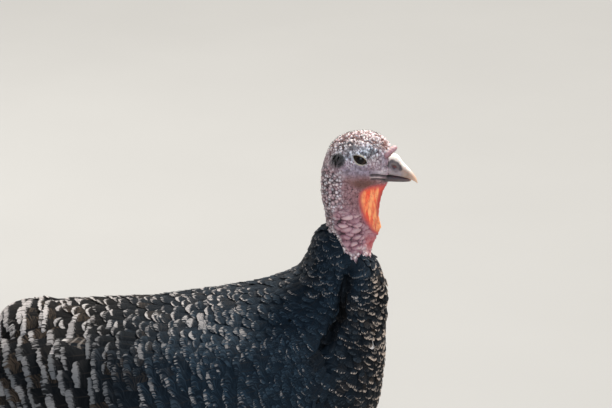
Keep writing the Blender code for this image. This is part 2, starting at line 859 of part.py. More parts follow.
def make_foot(name, side, shank):
    """Four toes with flat undersides, joined under the ankle."""
    root = toe_root(side)
    toes = []
    for toe, (_, length, thick, thin) in TOES.items():
        way = toe_direction(side, toe)
        line = [root + Vector((0, 0, 9)), root + way * length * 0.5, root + way * length]
        line[1].z = thick * 0.85
        line[2].z = thin * 0.8
        radii = [(thick * 1.15,), (thick,), (thick * 0.82,), (thick * 0.9,), (thin,), (thin * 0.5,)]
        toes.append(limb("toe", [tuple(p) for p in line], radii, 7, 6, leg_scales()))
    core = ball(name, (root.x, root.y, 9), (11, 10.5, 11), 0, 12, leg_scales())
    fuse(core, toes)
    bm = bmesh.new()
    bm.from_mesh(core.data)
    for vert in bm.verts:
        vert.co.z = max(vert.co.z, 0)
    bm.to_mesh(core.data)
    bm.free()
    clear_of(core, shank)
    return core


def make_claw(name, side, toe, foot):
    _, length, _, thin = TOES[toe]
    way = toe_direction(side, toe)
    root = toe_root(side)
    start = root + way * (length - 5)
    start.z = thin * 0.9
    middle = root + way * (length + CLAW_LENGTH * 0.45)
    middle.z = thin * 1.15
    tip = root + way * (length + CLAW_LENGTH)
    tip.z = 1.0
    radii = [(2.7,), (2.4,), (1.7,), (0.5,)]
    claw = limb(name, [tuple(start), tuple(middle), tuple(tip)], radii, 3, 5, bill_horn())
    clear_of(claw, foot)
    return claw


def make_leg(label, side, torso):
    thigh = make_thigh("thigh_" + label, side, torso)
    shank = make_shank("shank_" + label, side, thigh)
    foot = make_foot("foot_" + label, side, shank)
    for toe in TOES:
        make_claw("claw_" + toe + "_" + label, side, toe, foot)


def shade(angle=35):
    for thing in bpy.context.scene.objects:
        thing.data.shade_smooth()
        thing.data.set_sharp_from_angle(angle=math.radians(angle))


def main():
    clear_scene()
    torso = make_torso()
    make_neck()
    neck = make_bare_neck()
    head = make_head()
    for label, side in SIDES.items():
        make_eye("eye_" + label, side, head)
    upper = make_bill()
    form = make_head_form("head form")
    make_snood(form, upper)
    make_wattle(neck, form)
    bpy.data.objects.remove(form, do_unlink=True)
    make_tail(torso)
    make_tail_coverts(torso)
    for label, side in SIDES.items():
        make_wing("wing_" + label, side, torso)
        make_leg(label, side, torso)
    shade()


main()
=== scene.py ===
"""The looks of a life-size domestic turkey hen: skin, plumage, bill, eyes, legs, light and camera.

The bird faces +X and its left side is +Y. Tables are in millimetres and degrees, in the frame of
the solids, and every point is turned into metres when it goes into a mesh.
"""
import functools
import itertools
import math

import bmesh
import bpy
import numpy as np
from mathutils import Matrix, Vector


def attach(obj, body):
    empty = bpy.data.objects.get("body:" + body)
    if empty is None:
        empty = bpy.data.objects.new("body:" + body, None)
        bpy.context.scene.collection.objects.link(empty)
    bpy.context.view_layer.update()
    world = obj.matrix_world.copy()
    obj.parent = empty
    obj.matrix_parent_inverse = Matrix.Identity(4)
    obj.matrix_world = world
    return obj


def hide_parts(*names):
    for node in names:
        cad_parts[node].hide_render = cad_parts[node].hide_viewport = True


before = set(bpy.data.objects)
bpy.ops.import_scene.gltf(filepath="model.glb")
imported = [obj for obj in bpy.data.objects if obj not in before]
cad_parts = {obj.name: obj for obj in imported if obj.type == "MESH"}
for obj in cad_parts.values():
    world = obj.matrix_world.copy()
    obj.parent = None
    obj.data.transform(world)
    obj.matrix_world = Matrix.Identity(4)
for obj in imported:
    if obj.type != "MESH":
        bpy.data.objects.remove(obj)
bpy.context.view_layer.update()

MM = 0.001
NUDGE = 0.01
SIDES = {"right": -1, "left": 1}

# Sections of the trunk, neck and head, from the rump to the root of the bill: x and z on the back,
# x and z on the belly or throat, half the width, and how far down the section is widest.
BODY = np.array([
    (-98, 394, -86, 346, 24, 0.45),
    (-77, 422, -60, 302, 50, 0.42),
    (-36, 430, -24, 258, 72, 0.42),
    (16, 432, 24, 228, 88, 0.42),
    (72, 434, 84, 211, 96, 0.42),
    (128, 442, 144, 211, 98, 0.42),
    (176, 450, 206, 226, 95, 0.43),
    (207, 460, 262, 258, 87, 0.45),
    (225, 471, 305, 305, 73, 0.48),
    (233, 484, 316, 353, 58, 0.50),
    (237, 496, 317, 402, 46, 0.50),
    (242, 507, 318, 441, 38, 0.50),
    (248, 514, 311, 469, 32, 0.50),
    (254, 519, 301, 484, 28, 0.50),
    (253, 532, 297, 505, 24.5, 0.50),
    (250, 546, 294, 530, 22, 0.50),
    (249, 560, 292, 548, 20.5, 0.48),
    (249.5, 575, 295, 555, 20.5, 0.46),
    (253, 593, 299.5, 558, 21, 0.44),
    (260.5, 608, 303, 560, 21, 0.44),
    (274, 617, 306.5, 561, 20.5, 0.44),
    (289, 620, 310, 562, 19, 0.44),
    (302, 619, 313.5, 563, 17, 0.46),
    (313, 614, 316.5, 564, 14.5, 0.50),
    (319.5, 606, 319, 565, 11, 0.55),
])
BARE_EDGE = 13.0
BILL_ROOT = 24.0

# The surface that the folded wings lie along.
FOLD = np.array([
    (-176, 372, -150, 290, 52, 0.42),
    (-130, 392, -110, 288, 66, 0.42),
    (-84, 414, -66, 276, 79, 0.42),
    (-38, 427, -24, 256, 89, 0.42),
] + [tuple(row) for row in BODY[3:10]])
WING_FRONT = 9.0
WING_EDGES = np.array([(62, 96), (50, 112), (44, 118), (42, 118), (44, 112), (50, 100), (58, 86)])
WING_CORE_END = 0.76
WING_FLESH_START = 0.10
WING_DEPTH = [3.0, 9.0, 11.0, 9.5, 7.0, 5.0, 2.2]
WING_LENGTH = 430.0
WING_DEGREE = 1.65
WING_LEAN = 43.0

# The surface of the rump feathers, from over the tail to the back.
COVER = np.array([
    (-214, 322, -184, 266, 62, 0.5),
    (-172, 345, -142, 289, 58, 0.5),
    (-132, 368, -102, 312, 54, 0.5),
    (-101, 394, -72, 330, 52, 0.5),
    (-76, 421, -56, 330, 56, 0.5),
    (-36, 430, -24, 300, 74, 0.5),
    (10, 432, 18, 280, 86, 0.5),
])
COVER_TURNS = (42, 84)
COVER_DEPTH = [2.2, 5.5, 7.5, 6.0, 4.2, 3.2, 2.2]
COVER_LENGTH = 245.0

TAIL_ROOT = np.array((-96.0, 0.0, 372.0))
TAIL_LENGTH = 291.0
TAIL_DROOP = 28
TAIL_ROOF = 0.30
TAIL_PAIRS = 9
TAIL_LAYER = 1.3
TAIL_ROOT_STEP = 1.6
TAIL_TIP_STEP = 6.3
TAIL_SAG = 8
TAIL_ROUNDING = 0.13


def lerp(a, b, t):
    return a + (b - a) * t


def ramp(low, high, value):
    """0 at low, 1 at high and beyond, with a smooth step between."""
    t = np.clip((value - low) / (high - low), 0.0, 1.0)
    return t * t * (3 - 2 * t)


def hump(value, centre, spread):
    return np.exp(-((value - centre) / spread) ** 2)


def unit(vectors):
    return vectors / np.maximum(np.linalg.norm(vectors, axis=-1, keepdims=True), 1e-9)


def spline(rows, place):
    """Rows at places between the numbered rows, on a curve through them, straight on beyond."""
    rows = np.asarray(rows, float)
    last = len(rows) - 1
    inside = np.clip(place, 0, last)
    i = np.minimum(inside.astype(int), last - 1)
    t = (inside - i)[..., None]
    a = rows[np.maximum(i - 1, 0)]
    b = rows[i]
    c = rows[i + 1]
    d = rows[np.minimum(i + 2, last)]
    bend = (2 * a - 5 * b + 4 * c - d) * t + (3 * (b - c) + d - a) * t * t
    beyond = (place - inside)[..., None] * (c - b)
    return b + 0.5 * t * (c - a + bend) + beyond


def share_of(table, share):
    """Numbers or rows of a table, read a share of the way along it."""
    rows = np.asarray(table, float)
    if rows.ndim > 1:
        return spline(rows, share * (len(rows) - 1))
    return spline(rows[:, None], share * (len(rows) - 1))[..., 0]


def loft(rows, place, turn):
    """Points of a lofted form. turn is 0 on the back, 180 on the belly, positive to the left."""
    row = spline(rows, place)
    back_x, back_z, belly_x, belly_z, half, widest = np.moveaxis(row, -1, 0)
    angle = np.radians(turn)
    down = -np.cos(angle)
    share = widest + np.where(down < 0, widest, 1 - widest) * down
    x = lerp(back_x, belly_x, share)
    z = lerp(back_z, belly_z, share)
    return np.stack([x, half * np.sin(angle), z], -1)


def loft_normal(rows, place, turn):
    last = len(rows) - 1
    ahead = loft(rows, np.minimum(place + NUDGE, last), turn)
    behind = loft(rows, np.maximum(place - NUDGE, 0), turn)
    across = loft(rows, place, turn + 1) - loft(rows, place, turn - 1)
    return unit(np.cross(ahead - behind, across))


def raised(rows, place, turn, lift):
    return loft(rows, place, turn) + loft_normal(rows, place, turn) * np.asarray(lift)[..., None]


def tube(line, radii, along, angle, lift=0.0):
    """Points of a round limb along a bent line. Angle 0 is its front, or its top where it lies."""
    line = np.asarray(line, float)
    last = len(line) - 1
    place = along * last
    centre = spline(line, place)
    ahead = spline(line, np.minimum(place + NUDGE, last))
    behind = spline(line, np.maximum(place - NUDGE, 0))
    axis = unit(ahead - behind)
    across = unit(np.cross(axis, (0.0, 1.0, 0.0)))
    side = np.cross(axis, across)
    radius = share_of(radii, along) + lift
    turn = np.radians(angle)[..., None]
    return centre + (across * np.cos(turn) + side * np.sin(turn)) * radius[..., None]


def lottery(cell, seed):
    """Four even numbers from 0 to 1 that belong to each cell of a lattice."""
    mixed = cell @ np.array([73856093, 19349663, 83492791]) + seed * 26544357
    draws = []
    for _ in range(4):
        mixed = (mixed * 1103515245 + 12345) & 0x7FFFFFFF
        mixed = mixed ^ (mixed >> 15)
        draws.append((mixed & 0xFFFFF) / 0xFFFFF)
    return np.stack(draws, -1)


def cells(points, size, seed):
    """Round cells in space: the distance to the nearest core and how far the next one is beyond
    it, in cell sizes, and a number from 0 to 1 for each cell."""
    spot = points / size
    home = np.floor(spot).astype(np.int64)
    first = np.full(len(points), 9.0)
    second = np.full(len(points), 9.0)
    tag = np.zeros(len(points))
    for offset in itertools.product((-1, 0, 1), repeat=3):
        cell = home + np.array(offset)
        draws = lottery(cell, seed)
        core = cell + 0.1 + 0.8 * draws[:, :3]
        away = np.linalg.norm(spot - core, axis=1)
        nearer = away < first
        second = np.where(nearer, first, np.minimum(second, away))
        tag = np.where(nearer, draws[:, 3], tag)
        first = np.where(nearer, away, first)
    return first, second - first, tag


def line_distance(x, z, line):
    """How far points of the side view are from a bent line."""
    nearest = np.full(np.shape(x), 1e9)
    for (x0, z0), (x1, z1) in zip(line, line[1:]):
        run = np.array((x1 - x0, z1 - z0))
        share = ((x - x0) * run[0] + (z - z0) * run[1]) / (run @ run)
        share = np.clip(share, 0, 1)
        away = np.hypot(x - x0 - run[0] * share, z - z0 - run[1] * share)
        nearest = np.minimum(nearest, away)
    return nearest


# Meshes.


def sheet(columns, rows):
    """A flat grid to be bent into a surface, and its two coordinates from 0 to 1."""
    bm = bmesh.new()
    bmesh.ops.create_grid(bm, x_segments=columns, y_segments=rows, size=0.5)
    mesh = bpy.data.meshes.new("sheet")
    bm.to_mesh(mesh)
    bm.free()
    flat = np.empty(len(mesh.vertices) * 3)
    mesh.vertices.foreach_get("co", flat)
    flat = flat.reshape(-1, 3)
    return mesh, np.round(flat[:, 0] + 0.5, 6), np.round(flat[:, 1] + 0.5, 6)


def bend(mesh, points):
    mesh.vertices.foreach_set("co", (points * MM).astype(np.float32).ravel())


def mark(mesh, **values):
    """Store numbers on a mesh's points, one attribute for each name."""
    for name, value in values.items():
        layer = mesh.attributes.new(name, "FLOAT", "POINT")
        spread = np.broadcast_to(value, len(mesh.vertices)).astype(np.float32)
        layer.data.foreach_set("value", np.ascontiguousarray(spread))


def map_points(mesh, name, uv):
    """A UV map from one pair of coordinates for each point."""
    corner = np.empty(len(mesh.loops), np.int32)
    mesh.loops.foreach_get("vertex_index", corner)
    layer = mesh.uv_layers.new(name=name)
    layer.data.foreach_set("uv", uv[corner].astype(np.float32).ravel())


def close(mesh):
    """Weld the seam of a wrapped sheet, close its ends and turn its faces out."""
    bm = bmesh.new()
    bm.from_mesh(mesh)
    bmesh.ops.remove_doubles(bm, verts=bm.verts[:], dist=0.02 * MM)
    rim = [edge for edge in bm.edges if edge.is_boundary]
    if rim:
        bmesh.ops.holes_fill(bm, edges=rim, sides=0)
    bmesh.ops.recalc_face_normals(bm, faces=bm.faces[:])
    bm.to_mesh(mesh)
    bm.free()
    return mesh


def grid_normals(points, u, v):
    """Normals of a wrapped sheet's points, read off their neighbours along and around."""
    order = np.lexsort((u, v))
    across = len(np.unique(u))
    grid = points[order].reshape(-1, across, 3)
    along = np.gradient(grid, axis=0)
    ring = grid[:, :-1]
    around = np.roll(ring, -1, axis=1) - np.roll(ring, 1, axis=1)
    around = np.concatenate([around, around[:, :1]], axis=1)
    normals = np.empty_like(points)
    normals[order] = unit(np.cross(along, around)).reshape(-1, 3)
    return normals


def finished(mesh, points, **marks):
    """Bend a sheet to its points, store its marks and close it."""
    bend(mesh, points)
    mark(mesh, **marks)
    return close(mesh)


def wrapped(point_at, marks_at, relief=None, **grid):
    """A closed form. point_at takes the place along, 0 to 1, and the turn, -180 to 180."""
    mesh, u, v = sheet(**grid)
    turn = 360 * u - 180
    points = point_at(v, turn)
    if relief is not None:
        normals = grid_normals(points, u, v)
        if np.sum((points - points.mean(axis=0)) * normals) < 0:
            normals = -normals
        points = points + normals * relief(v, turn, points)[:, None]
    return finished(mesh, points, **marks_at(v, turn, points))


def shown(name, data):
    """A new object in the scene, at the origin."""
    made = bpy.data.objects.new(name, data)
    bpy.context.scene.collection.objects.link(made)
    return made


def piece(name, mesh, finish, slot, *nodes):
    """Make a mesh a piece of the bird that stands for its nodes."""
    mesh.name = name
    mesh.materials.clear()
    mesh.materials.append(finish)
    mesh.shade_smooth()
    made = shown(name, mesh)
    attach(made, "root")
    if nodes:
        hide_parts(*nodes)


def joined(meshes):
    """One mesh of several, with their attributes."""
    things = [shown("part", mesh) for mesh in meshes]
    with bpy.context.temp_override(
        active_object=things[0], object=things[0],
        selected_objects=things, selected_editable_objects=things,
    ):
        bpy.ops.object.join()
    mesh = things[0].data
    bpy.data.objects.remove(things[0], do_unlink=True)
    return mesh


# Shader nodes.


class Value:
    """A socket in an expression. Each operator adds a Math node."""

    def __init__(self, finish, socket):
        self.finish = finish
        self.socket = socket

    def __add__(self, other):
        return self.finish.maths("ADD", self, other)

    __radd__ = __add__

    def __sub__(self, other):
        return self.finish.maths("SUBTRACT", self, other)

    def __rsub__(self, other):
        return self.finish.maths("SUBTRACT", other, self)

    def __mul__(self, other):
        return self.finish.maths("MULTIPLY", self, other)

    __rmul__ = __mul__


class Finish:
    """A material and the nodes that make it."""

    def __init__(self, name, **constants):
        self.material = bpy.data.materials.new(name)
        self.material.use_nodes = True
        tree = self.material.node_tree
        self.nodes = tree.nodes
        self.links = tree.links
        self.shader = tree.nodes["Principled BSDF"]
        for socket, value in constants.items():
            self.shader.inputs[socket.replace("_", " ")].default_value = value

    def add(self, kind, settings=None, values=None, output=0):
        """Any node: its type, its settings, its sockets' values or links, and the output to use."""
        node = self.nodes.new("ShaderNode" + kind)
        for key, value in (settings or {}).items():
            setattr(node, key, value)
        for key, value in (values or {}).items():
            if isinstance(value, Value):
                self.links.new(value.socket, node.inputs[key])
            else:
                node.inputs[key].default_value = value
        return Value(self, node.outputs[output])

    def maths(self, operation, *operands):
        return self.add("Math", {"operation": operation}, dict(enumerate(operands)))

    def step(self, low, high, value):
        """0 below low, 1 above high, smooth between; low and high may be sockets."""
        values = {"Value": value, "From Min": low, "From Max": high}
        return self.add("MapRange", {"interpolation_type": "SMOOTHSTEP"}, values)

    def mix(self, low, high, factor):
        """Blend two colours."""
        low = low if isinstance(low, Value) else (*low, 1.0)
        high = high if isinstance(high, Value) else (*high, 1.0)
        values = {0: factor, 6: low, 7: high}
        return self.add("Mix", {"data_type": "RGBA"}, values, output=2)

    def layered(self, colour, *layers):
        """Lay colours over a colour, each by its mask."""
        for over, mask in layers:
            colour = self.mix(colour, over, mask)
        return colour

    def read(self, *names):
        """Numbers that are stored on the mesh's points."""
        return [self.add("Attribute", {"attribute_name": name}, output=2) for name in names]

    def place(self):
        return self.add("TexCoord", output="Object")

    def noise(self, scale, detail=2.0, vector=None):
        values = {"Vector": vector or self.place(), "Scale": scale, "Detail": detail}
        return self.add("TexNoise", None, values)

    def feed(self, **values):
        """Link values to the shader's own sockets."""
        for socket, value in values.items():
            self.links.new(value.socket, self.shader.inputs[socket.replace("_", " ")])

    def bump(self, height, strength, distance):
        values = {"Height": height, "Strength": strength, "Distance": distance}
        self.feed(Normal=self.add("Bump", None, values))


# Colours of the skin in linear light, or the two that a colour varies between.
MAUVE = ((0.23, 0.088, 0.115), (0.42, 0.215, 0.25))
LILAC = ((0.165, 0.115, 0.145), (0.36, 0.275, 0.340))
BLUE_GREY = ((0.022, 0.030, 0.052), (0.82, 0.87, 0.98))
PALE = ((0.42, 0.32, 0.32), (0.93, 0.805, 0.80))
# Umber is the skin's own brown on the crown and down the nape, and painted shade under the jaw, at the
# snood's root and under the snood.
UMBER = ((0.10, 0.040, 0.034), (0.22, 0.100, 0.085))
# The wattle's bright orange is partly its own colour, partly painted light shining through it.
ORANGE = ((1.0, 0.085, 0.032), (1.0, 0.50, 0.190))
PINK = (0.66, 0.43, 0.44)
FLUSHED = (0.58, 0.10, 0.095)
VEIN = (0.46, 0.062, 0.055)
# Painted shade in the gaps between the skin's beads and folds.
GROOVE_SHADE = (0.034, 0.018, 0.022)
DARK_SKIN = (0.042, 0.039, 0.040)
LID = (0.46, 0.40, 0.34)
UNDER_COAT = (0.006, 0.007, 0.009)
UNLIT = (0.0, 0.0, 0.0)
# The colour of the wattle's painted glow, as if the sun shone through it.
PAINTED_GLOW = (0.30, 0.085, 0.032)


def skin_finish():
    """Bare skin: blue-grey over the eye, lilac cheeks, mauve folds and an orange-red wattle, painted to
    glow where the sun shines through it.
    """
    skin = Finish("bare skin", Specular_IOR_Level=0.32, Subsurface_Weight=0.16, Subsurface_Scale=0.5,
                  Subsurface_Radius=(0.006, 0.0022, 0.0014), Emission_Strength=1.0)
    bead, tag, wattle, vein, dark = skin.read("bead", "tag", "wattle", "vein", "dark")
    lilac, blue, pale, umber, lid, down = skin.read("lilac", "blue", "pale", "umber", "lid", "down")
    patch = skin.noise(190.0, 3.0)
    grain = skin.noise(900.0, 2.0)
    # The pink, blue-grey and pale skins are lighter on the beads' tops than lower down: partly the beads'
    # own colour, partly painted highlight.
    lit = skin.step(0.44, 0.85, bead) * (0.16 + tag * 0.84)
    hanging = skin.add("Mapping", None, {"Vector": skin.place(), "Scale": (1.7, 1.0, 0.32)})
    glow = skin.step(0.36, 0.66, skin.noise(170.0, 2.5, hanging))
    colour = skin.layered(
        skin.mix(*MAUVE, skin.step(0.36, 0.64, patch)),
        (PINK, tag * skin.step(0.40, 0.85, bead)),
        (skin.mix(*LILAC, skin.step(0.34, 0.62, patch)), lilac),
        (skin.mix(*BLUE_GREY, lit), blue * (0.75 + skin.step(0.36, 0.56, patch) * 0.25)),
        (skin.mix(*PALE, skin.step(0.5, 0.9, bead)), pale),
        (skin.mix(*UMBER, patch), umber),
        (FLUSHED, skin.step(0.0, 0.5, wattle)),
        (skin.mix(*ORANGE, glow), skin.step(0.30, 1.0, wattle)),
        (VEIN, vein * 0.85),
    )
    # Painted shade: the skin darkens towards the groove colour in the gaps between the beads.
    groove = skin.step(0.0, 0.46, bead + (grain - 0.5) * 0.16)
    colour = skin.layered(
        skin.mix(GROOVE_SHADE, colour, groove),
        (DARK_SKIN, dark), (LID, lid), (UNDER_COAT, down),
    )
    # Painted glow: the wattle gives off light where the sun would shine through it, less along its veins.
    through = skin.step(0.3, 1.0, wattle) * (0.35 + glow * 0.65) * (1.0 - vein * 0.9)
    painted_glow_colour = skin.mix(UNLIT, PAINTED_GLOW, through)
    skin.feed(Base_Color=colour, Emission_Color=painted_glow_colour, Roughness=0.40 + grain * 0.26 + dark * 0.2)
    skin.bump(grain * 0.6 + skin.noise(2400.0) * 0.4, 0.5, 0.0006)
    return skin.material


# Colours of the feathers: blue-black and brown-black, and the dark and light of the white. The blue of the
# shaded feathers is partly a painted reflection of the sky, the brown of the sunlit ones partly painted
# sunlight.
BLACK = ((0.0064, 0.0110, 0.0176), (0.0026, 0.0023, 0.0022))
SLATE = ((0.0300, 0.0525, 0.0770), (0.0205, 0.0158, 0.0126))
# The painted sheen along each feather's tip, blue-grey and brownish.
EDGE_SHEEN = ((0.050, 0.072, 0.092), (0.062, 0.050, 0.042))
WHITE = ((0.19, 0.170, 0.170), (0.57, 0.53, 0.515))
# The painted brown sheen of some feathers.
BROWN_SHEEN = (0.060, 0.042, 0.029)
SHAFT = (0.030, 0.024, 0.020)
BARS = (0.30, 0.265, 0.24)
BUFF = (0.39, 0.305, 0.245)
# The grey that the white turns to in painted shade, and where it is duller.
SHADED_DULL_WHITE = (0.125, 0.125, 0.130)


def white_end(coat, along, side, seed, streak_at, fray):
    """The white or buff of a feather's end, and a mask for it with a frayed, broken edge."""
    band, broken, brown, dull = coat.read("band", "broken", "brown", "dull")
    barbs = (fray - 0.5) * 0.30
    inner = coat.step(-0.02, 0.02, along + band * (1.10 - side * side * 0.40) - 1.0 + barbs)
    outer = coat.step(-0.012, 0.012, 1.02 - along + barbs * 0.7)
    inner = inner * outer * coat.step(0.002, 0.02, band)
    gaps = coat.noise(1.5, 2.0, streak_at) * 0.8 + coat.noise(4.2, 2.0, streak_at) * 0.2
    breaks = coat.step(broken - 0.06, broken + 0.08, gaps)
    bright = coat.step(0.32, 0.64, fray + (seed - 0.5) * 0.14)
    # The white is dimmed where it lies out of the sun, painted shade, and is duller on the neck and at the
    # far rear.
    white = coat.layered(coat.mix(*WHITE, bright), (BUFF, brown), (SHADED_DULL_WHITE, dull))
    return white, inner * breaks


def plumage_finish():
    """Black feathers with a blue gloss, fine barbs, white tips and, on the breast, brown edges, with
    painted sunlight, shade and sheen.
    """
    coat = Finish("plumage", Specular_IOR_Level=0.06, Specular_Tint=(0.66, 0.84, 1.0, 1.0))
    spread = coat.add("SeparateXYZ", None, {0: coat.add("UVMap", {"uv_map": "feather"})})
    along = Value(coat, spread.socket.node.outputs[1])
    side = coat.maths("ABSOLUTE", spread - 0.5) * 2.0
    seed, tone, bars, rate = coat.read("seed", "tone", "bars", "rate")
    tip = coat.step(0.55, 0.95, along)
    barb = (along * 26.0 - side * 7.0) * (1.0 - tip) + (20.0 + spread * 8.0 - along * 1.5) * tip
    streak_at = coat.add("CombineXYZ", None, {0: barb, 1: side * 0.8, 2: seed * 40.0})
    streak = coat.noise(1.6, 3.0, streak_at)
    fray = coat.noise(8.2, 3.0, streak_at)
    clump = coat.noise(0.45, 2.0, streak_at)
    # Painted shade: each feather is darker towards its base, under the tip of the feather before it.
    unshaded_share = 0.36 + coat.step(0.60, 0.88, along) * 0.64
    # Painted sheen: brown streaks on a few feathers, strongest where the tone is highest.
    brown_sheen = coat.step(0.78, 0.86, seed) * tone * coat.step(0.45, 0.60, streak)
    shaft = coat.step(0.045, 0.015, side) * coat.step(0.90, 0.6, along)
    # Painted sheen: a thin lighter line along each feather's tip.
    rim = coat.step(0.84, 0.97, along) * coat.step(0.42, 0.58, streak)
    wave = coat.maths("SINE", along * rate + side * 1.6 + seed * 9.0 + streak * 2.2)
    barred = coat.step(0.35, 0.85, wave) * coat.step(0.20, 0.45, along) * bars
    colour = coat.layered(
        coat.mix(*BLACK, tone),
        (coat.mix(*SLATE, tone), coat.step(0.42, 0.68, streak * 0.6 + clump * 0.4) * unshaded_share),
        (BROWN_SHEEN, brown_sheen * 0.8),
        (SHAFT, shaft * 0.5),
        (coat.mix(*EDGE_SHEEN, tone), rim * 0.22),
        (BARS, barred * coat.step(0.36, 0.56, fray)),
        white_end(coat, along, side, seed, streak_at, fray),
    )
    coat.feed(Base_Color=colour, Roughness=0.42 + streak * 0.26 + tone * 0.12)
    coat.bump(streak + fray * 0.4, 0.5, 0.0009)
    return coat.material


# Colours of the bill.
TAN = ((0.25, 0.170, 0.130), (0.35, 0.250, 0.195))
PINKISH_HORN = (0.34, 0.270, 0.285)
# The cream of the ridge is partly the horn's own colour, partly painted sunlight on the bill's top.
CREAM = (0.94, 0.88, 0.82)
HOOK = (0.66, 0.43, 0.30)
CERE = (0.056, 0.042, 0.052)
NOSTRIL_RED = (0.15, 0.022, 0.017)
HORN_FLECKS = (0.17, 0.125, 0.10)


def bill_finish():
    """Horn: a cream ridge, partly its own pale colour and partly painted sunlight on the bill's top, a
    pinkish tan side and hook, and dark grey skin round the nostrils.
    """
    horn = Finish("bill horn", Specular_IOR_Level=0.5, Subsurface_Weight=0.08)
    root, ridge, hook, cere, slot = horn.read("root", "ridge", "hook", "cere", "slot")
    fine = horn.noise(420.0, 4.0)
    colour = horn.layered(
        horn.mix(*TAN, horn.step(0.35, 0.65, horn.noise(150.0))),
        (PINKISH_HORN, root), (CREAM, ridge), (HOOK, hook),
        (CERE, cere), (NOSTRIL_RED, slot),
        (HORN_FLECKS, horn.step(0.56, 0.72, fine) * 0.35),
    )
    horn.feed(Base_Color=colour, Roughness=0.30 + fine * 0.28 + cere * 0.2)
    horn.bump(fine, 0.35, 0.0006)
    return horn.material


def eye_finish():
    """A wet eye: a black pupil in a very dark brown iris."""
    eye = Finish("eye", Roughness=0.10, Specular_IOR_Level=0.35, IOR=1.36)
    (out,) = eye.read("out")
    iris = eye.mix((0.012, 0.007, 0.004), (0.036, 0.021, 0.011), eye.noise(700.0, 3.0))
    eye.feed(Base_Color=eye.layered(
        (0.0015, 0.0013, 0.0013), (iris, eye.step(0.26, 0.33, out)),
        ((0.012, 0.008, 0.007), eye.step(0.56, 0.66, out)),
    ))
    return eye.material


def leg_finish():
    """Scaly skin: dull pinkish brown shields with darker seams."""
    leg = Finish("leg scales", Specular_IOR_Level=0.45)
    seam, tag = leg.read("seam", "tag")
    fine = leg.noise(700.0, 3.0)
    colour = leg.mix((0.215, 0.115, 0.105), (0.36, 0.22, 0.195), leg.step(0.3, 0.7, leg.noise(90.0)))
    colour = leg.mix(colour, (0.42, 0.30, 0.27), tag * 0.5)
    colour = leg.mix((0.070, 0.042, 0.040), colour, leg.step(0.0, 0.42, seam))
    leg.feed(Base_Color=colour, Roughness=0.38 + fine * 0.3)
    leg.bump(fine * 0.5 + leg.noise(2200.0) * 0.3, 0.5, 0.0005)
    return leg.material


def claw_finish():
    """Satin dark horn with fine streaks."""
    claw = Finish("claw horn", Specular_IOR_Level=0.5)
    streaks = claw.noise(300.0, 3.0)
    colour = claw.mix((0.045, 0.034, 0.030), (0.15, 0.105, 0.085), streaks)
    claw.feed(Base_Color=colour, Roughness=0.28 + streaks * 0.25)
    claw.bump(streaks, 0.3, 0.0004)
    return claw.material


# The skin of the trunk, neck and head.

WATTLE_PLACES = [13.0, 13.5, 14, 14.5, 15, 15.5, 16, 16.6, 17, 18, 19, 20, 21, 22, 23]
WATTLE_FRONT = np.array([
    (301, 484), (303.2, 497), (308, 507), (311.6, 515), (308.8, 527), (309.2, 537), (310.6, 545),
    (311.6, 549.5), (312.8, 553.5), (314.4, 557.3), (315.9, 560), (317, 562), (317.4, 563),
    (317.8, 563.8), (316.5, 564),
])
WATTLE_EDGE = np.array([(506, 307), (513, 303.5), (519, 300), (526, 296), (535, 293), (546, 291),
                        (556, 291.5), (566, 299)])
WATTLE_TURN = 24.0
WATTLE_HALF = 3.6

EYE_PLACE = (288.5, 12.6, 594.0)
EYE_RADIUS = 8.7
EYE_SLANT = 30
EYE_OPENING = (8.3, 4.8)
EYE_POWER = 1.7
LID_COVER = 1.0
EAR_PLACE = (264.1, 592.2)
EAR_HALVES = (9.2, 7.2)
EAR_SLANT = -32
MOUTH = [(299.0, 576.6), (306, 576.4), (314, 574.4), (322, 572.6)]
JAW_LINE = [(300.5, 572.0), (307, 571.4), (314, 569.8), (321, 568.4)]
CREASE = [(277, 477), (271, 443), (259, 416), (248, 402), (251, 390), (250, 357), (243, 322)]
CREASE_DEPTH = 11.0
CREASE_WIDTH = 6.0
TONGUE_DEPTH = 1.05
TONGUE_TURN = 90.0
TONGUE_WIDTH = 18.0
# How much deeper the fold by the shoulder is in the skin than in the feathers over it.
SKIN_CREASE = 1.25
# Sizes of the skin's beads, folds and specks.
SMALL_BEAD = 2.7
NAPE_BEAD = 3.6
FOLD_SIZE = 11.6
SPECK_SIZE = 1.9
# How far the skin lies below the feathers, by place.
COAT_DEPTH = np.array([(0, 7), (9, 7), (11, 5), (12.6, 2.0), (13.2, 0.0), (24, 0.0)])

# Soft round patches of the head's side view: x, its spread, z, its spread, and the strength.
PATCHES = {
    "below_ear": [(268.5, 8.0, 577.5, 6.5, 1.0)],
    "calm": [(284, 16, 582, 7, 0.6)],
    "forehead": [(319, 6, 603, 5.5, 3.2)],
    "blue": [(288, 22, 605, 12, 1.9), (264, 11, 604, 8, 0.9)],
    "lilac": [(284, 20, 584, 10, 1.0), (314, 9, 584, 7, 0.8), (303, 14, 579, 3.5, 0.8),
              (312, 4.5, 594, 5.0, 0.7)],
    "pale": [(302, 9, 595, 7, 0.55), (311, 7, 583, 6, 0.30), (313, 8, 579.5, 2.5, 0.3)],
    "pale_beads": [(284, 7, 610, 8, 0.6)],
    "pale_specks": [(282, 9, 588, 8, 0.45)],
    "pale_brow": [(321, 4, 604, 4, 0.5)],
    # Painted shade under the jaw and at the root of the snood.
    "umber_jaw": [(289, 25, 566.0, 9.5, 1.20)],
    "umber_brow": [(313, 4.5, 607, 5.0, 0.8)],
    "dark_beads": [(277, 9, 609, 7, 1.0), (301, 7, 600, 5, 0.9)],
    "dark_specks": [(295, 15, 585, 9, 0.50)],
}


def bare_edge(turn):
    """The place where the neck's feathers end: lower on each side, where a tongue of skin runs."""
    return BARE_EDGE - TONGUE_DEPTH * hump(np.abs(turn), TONGUE_TURN, TONGUE_WIDTH)


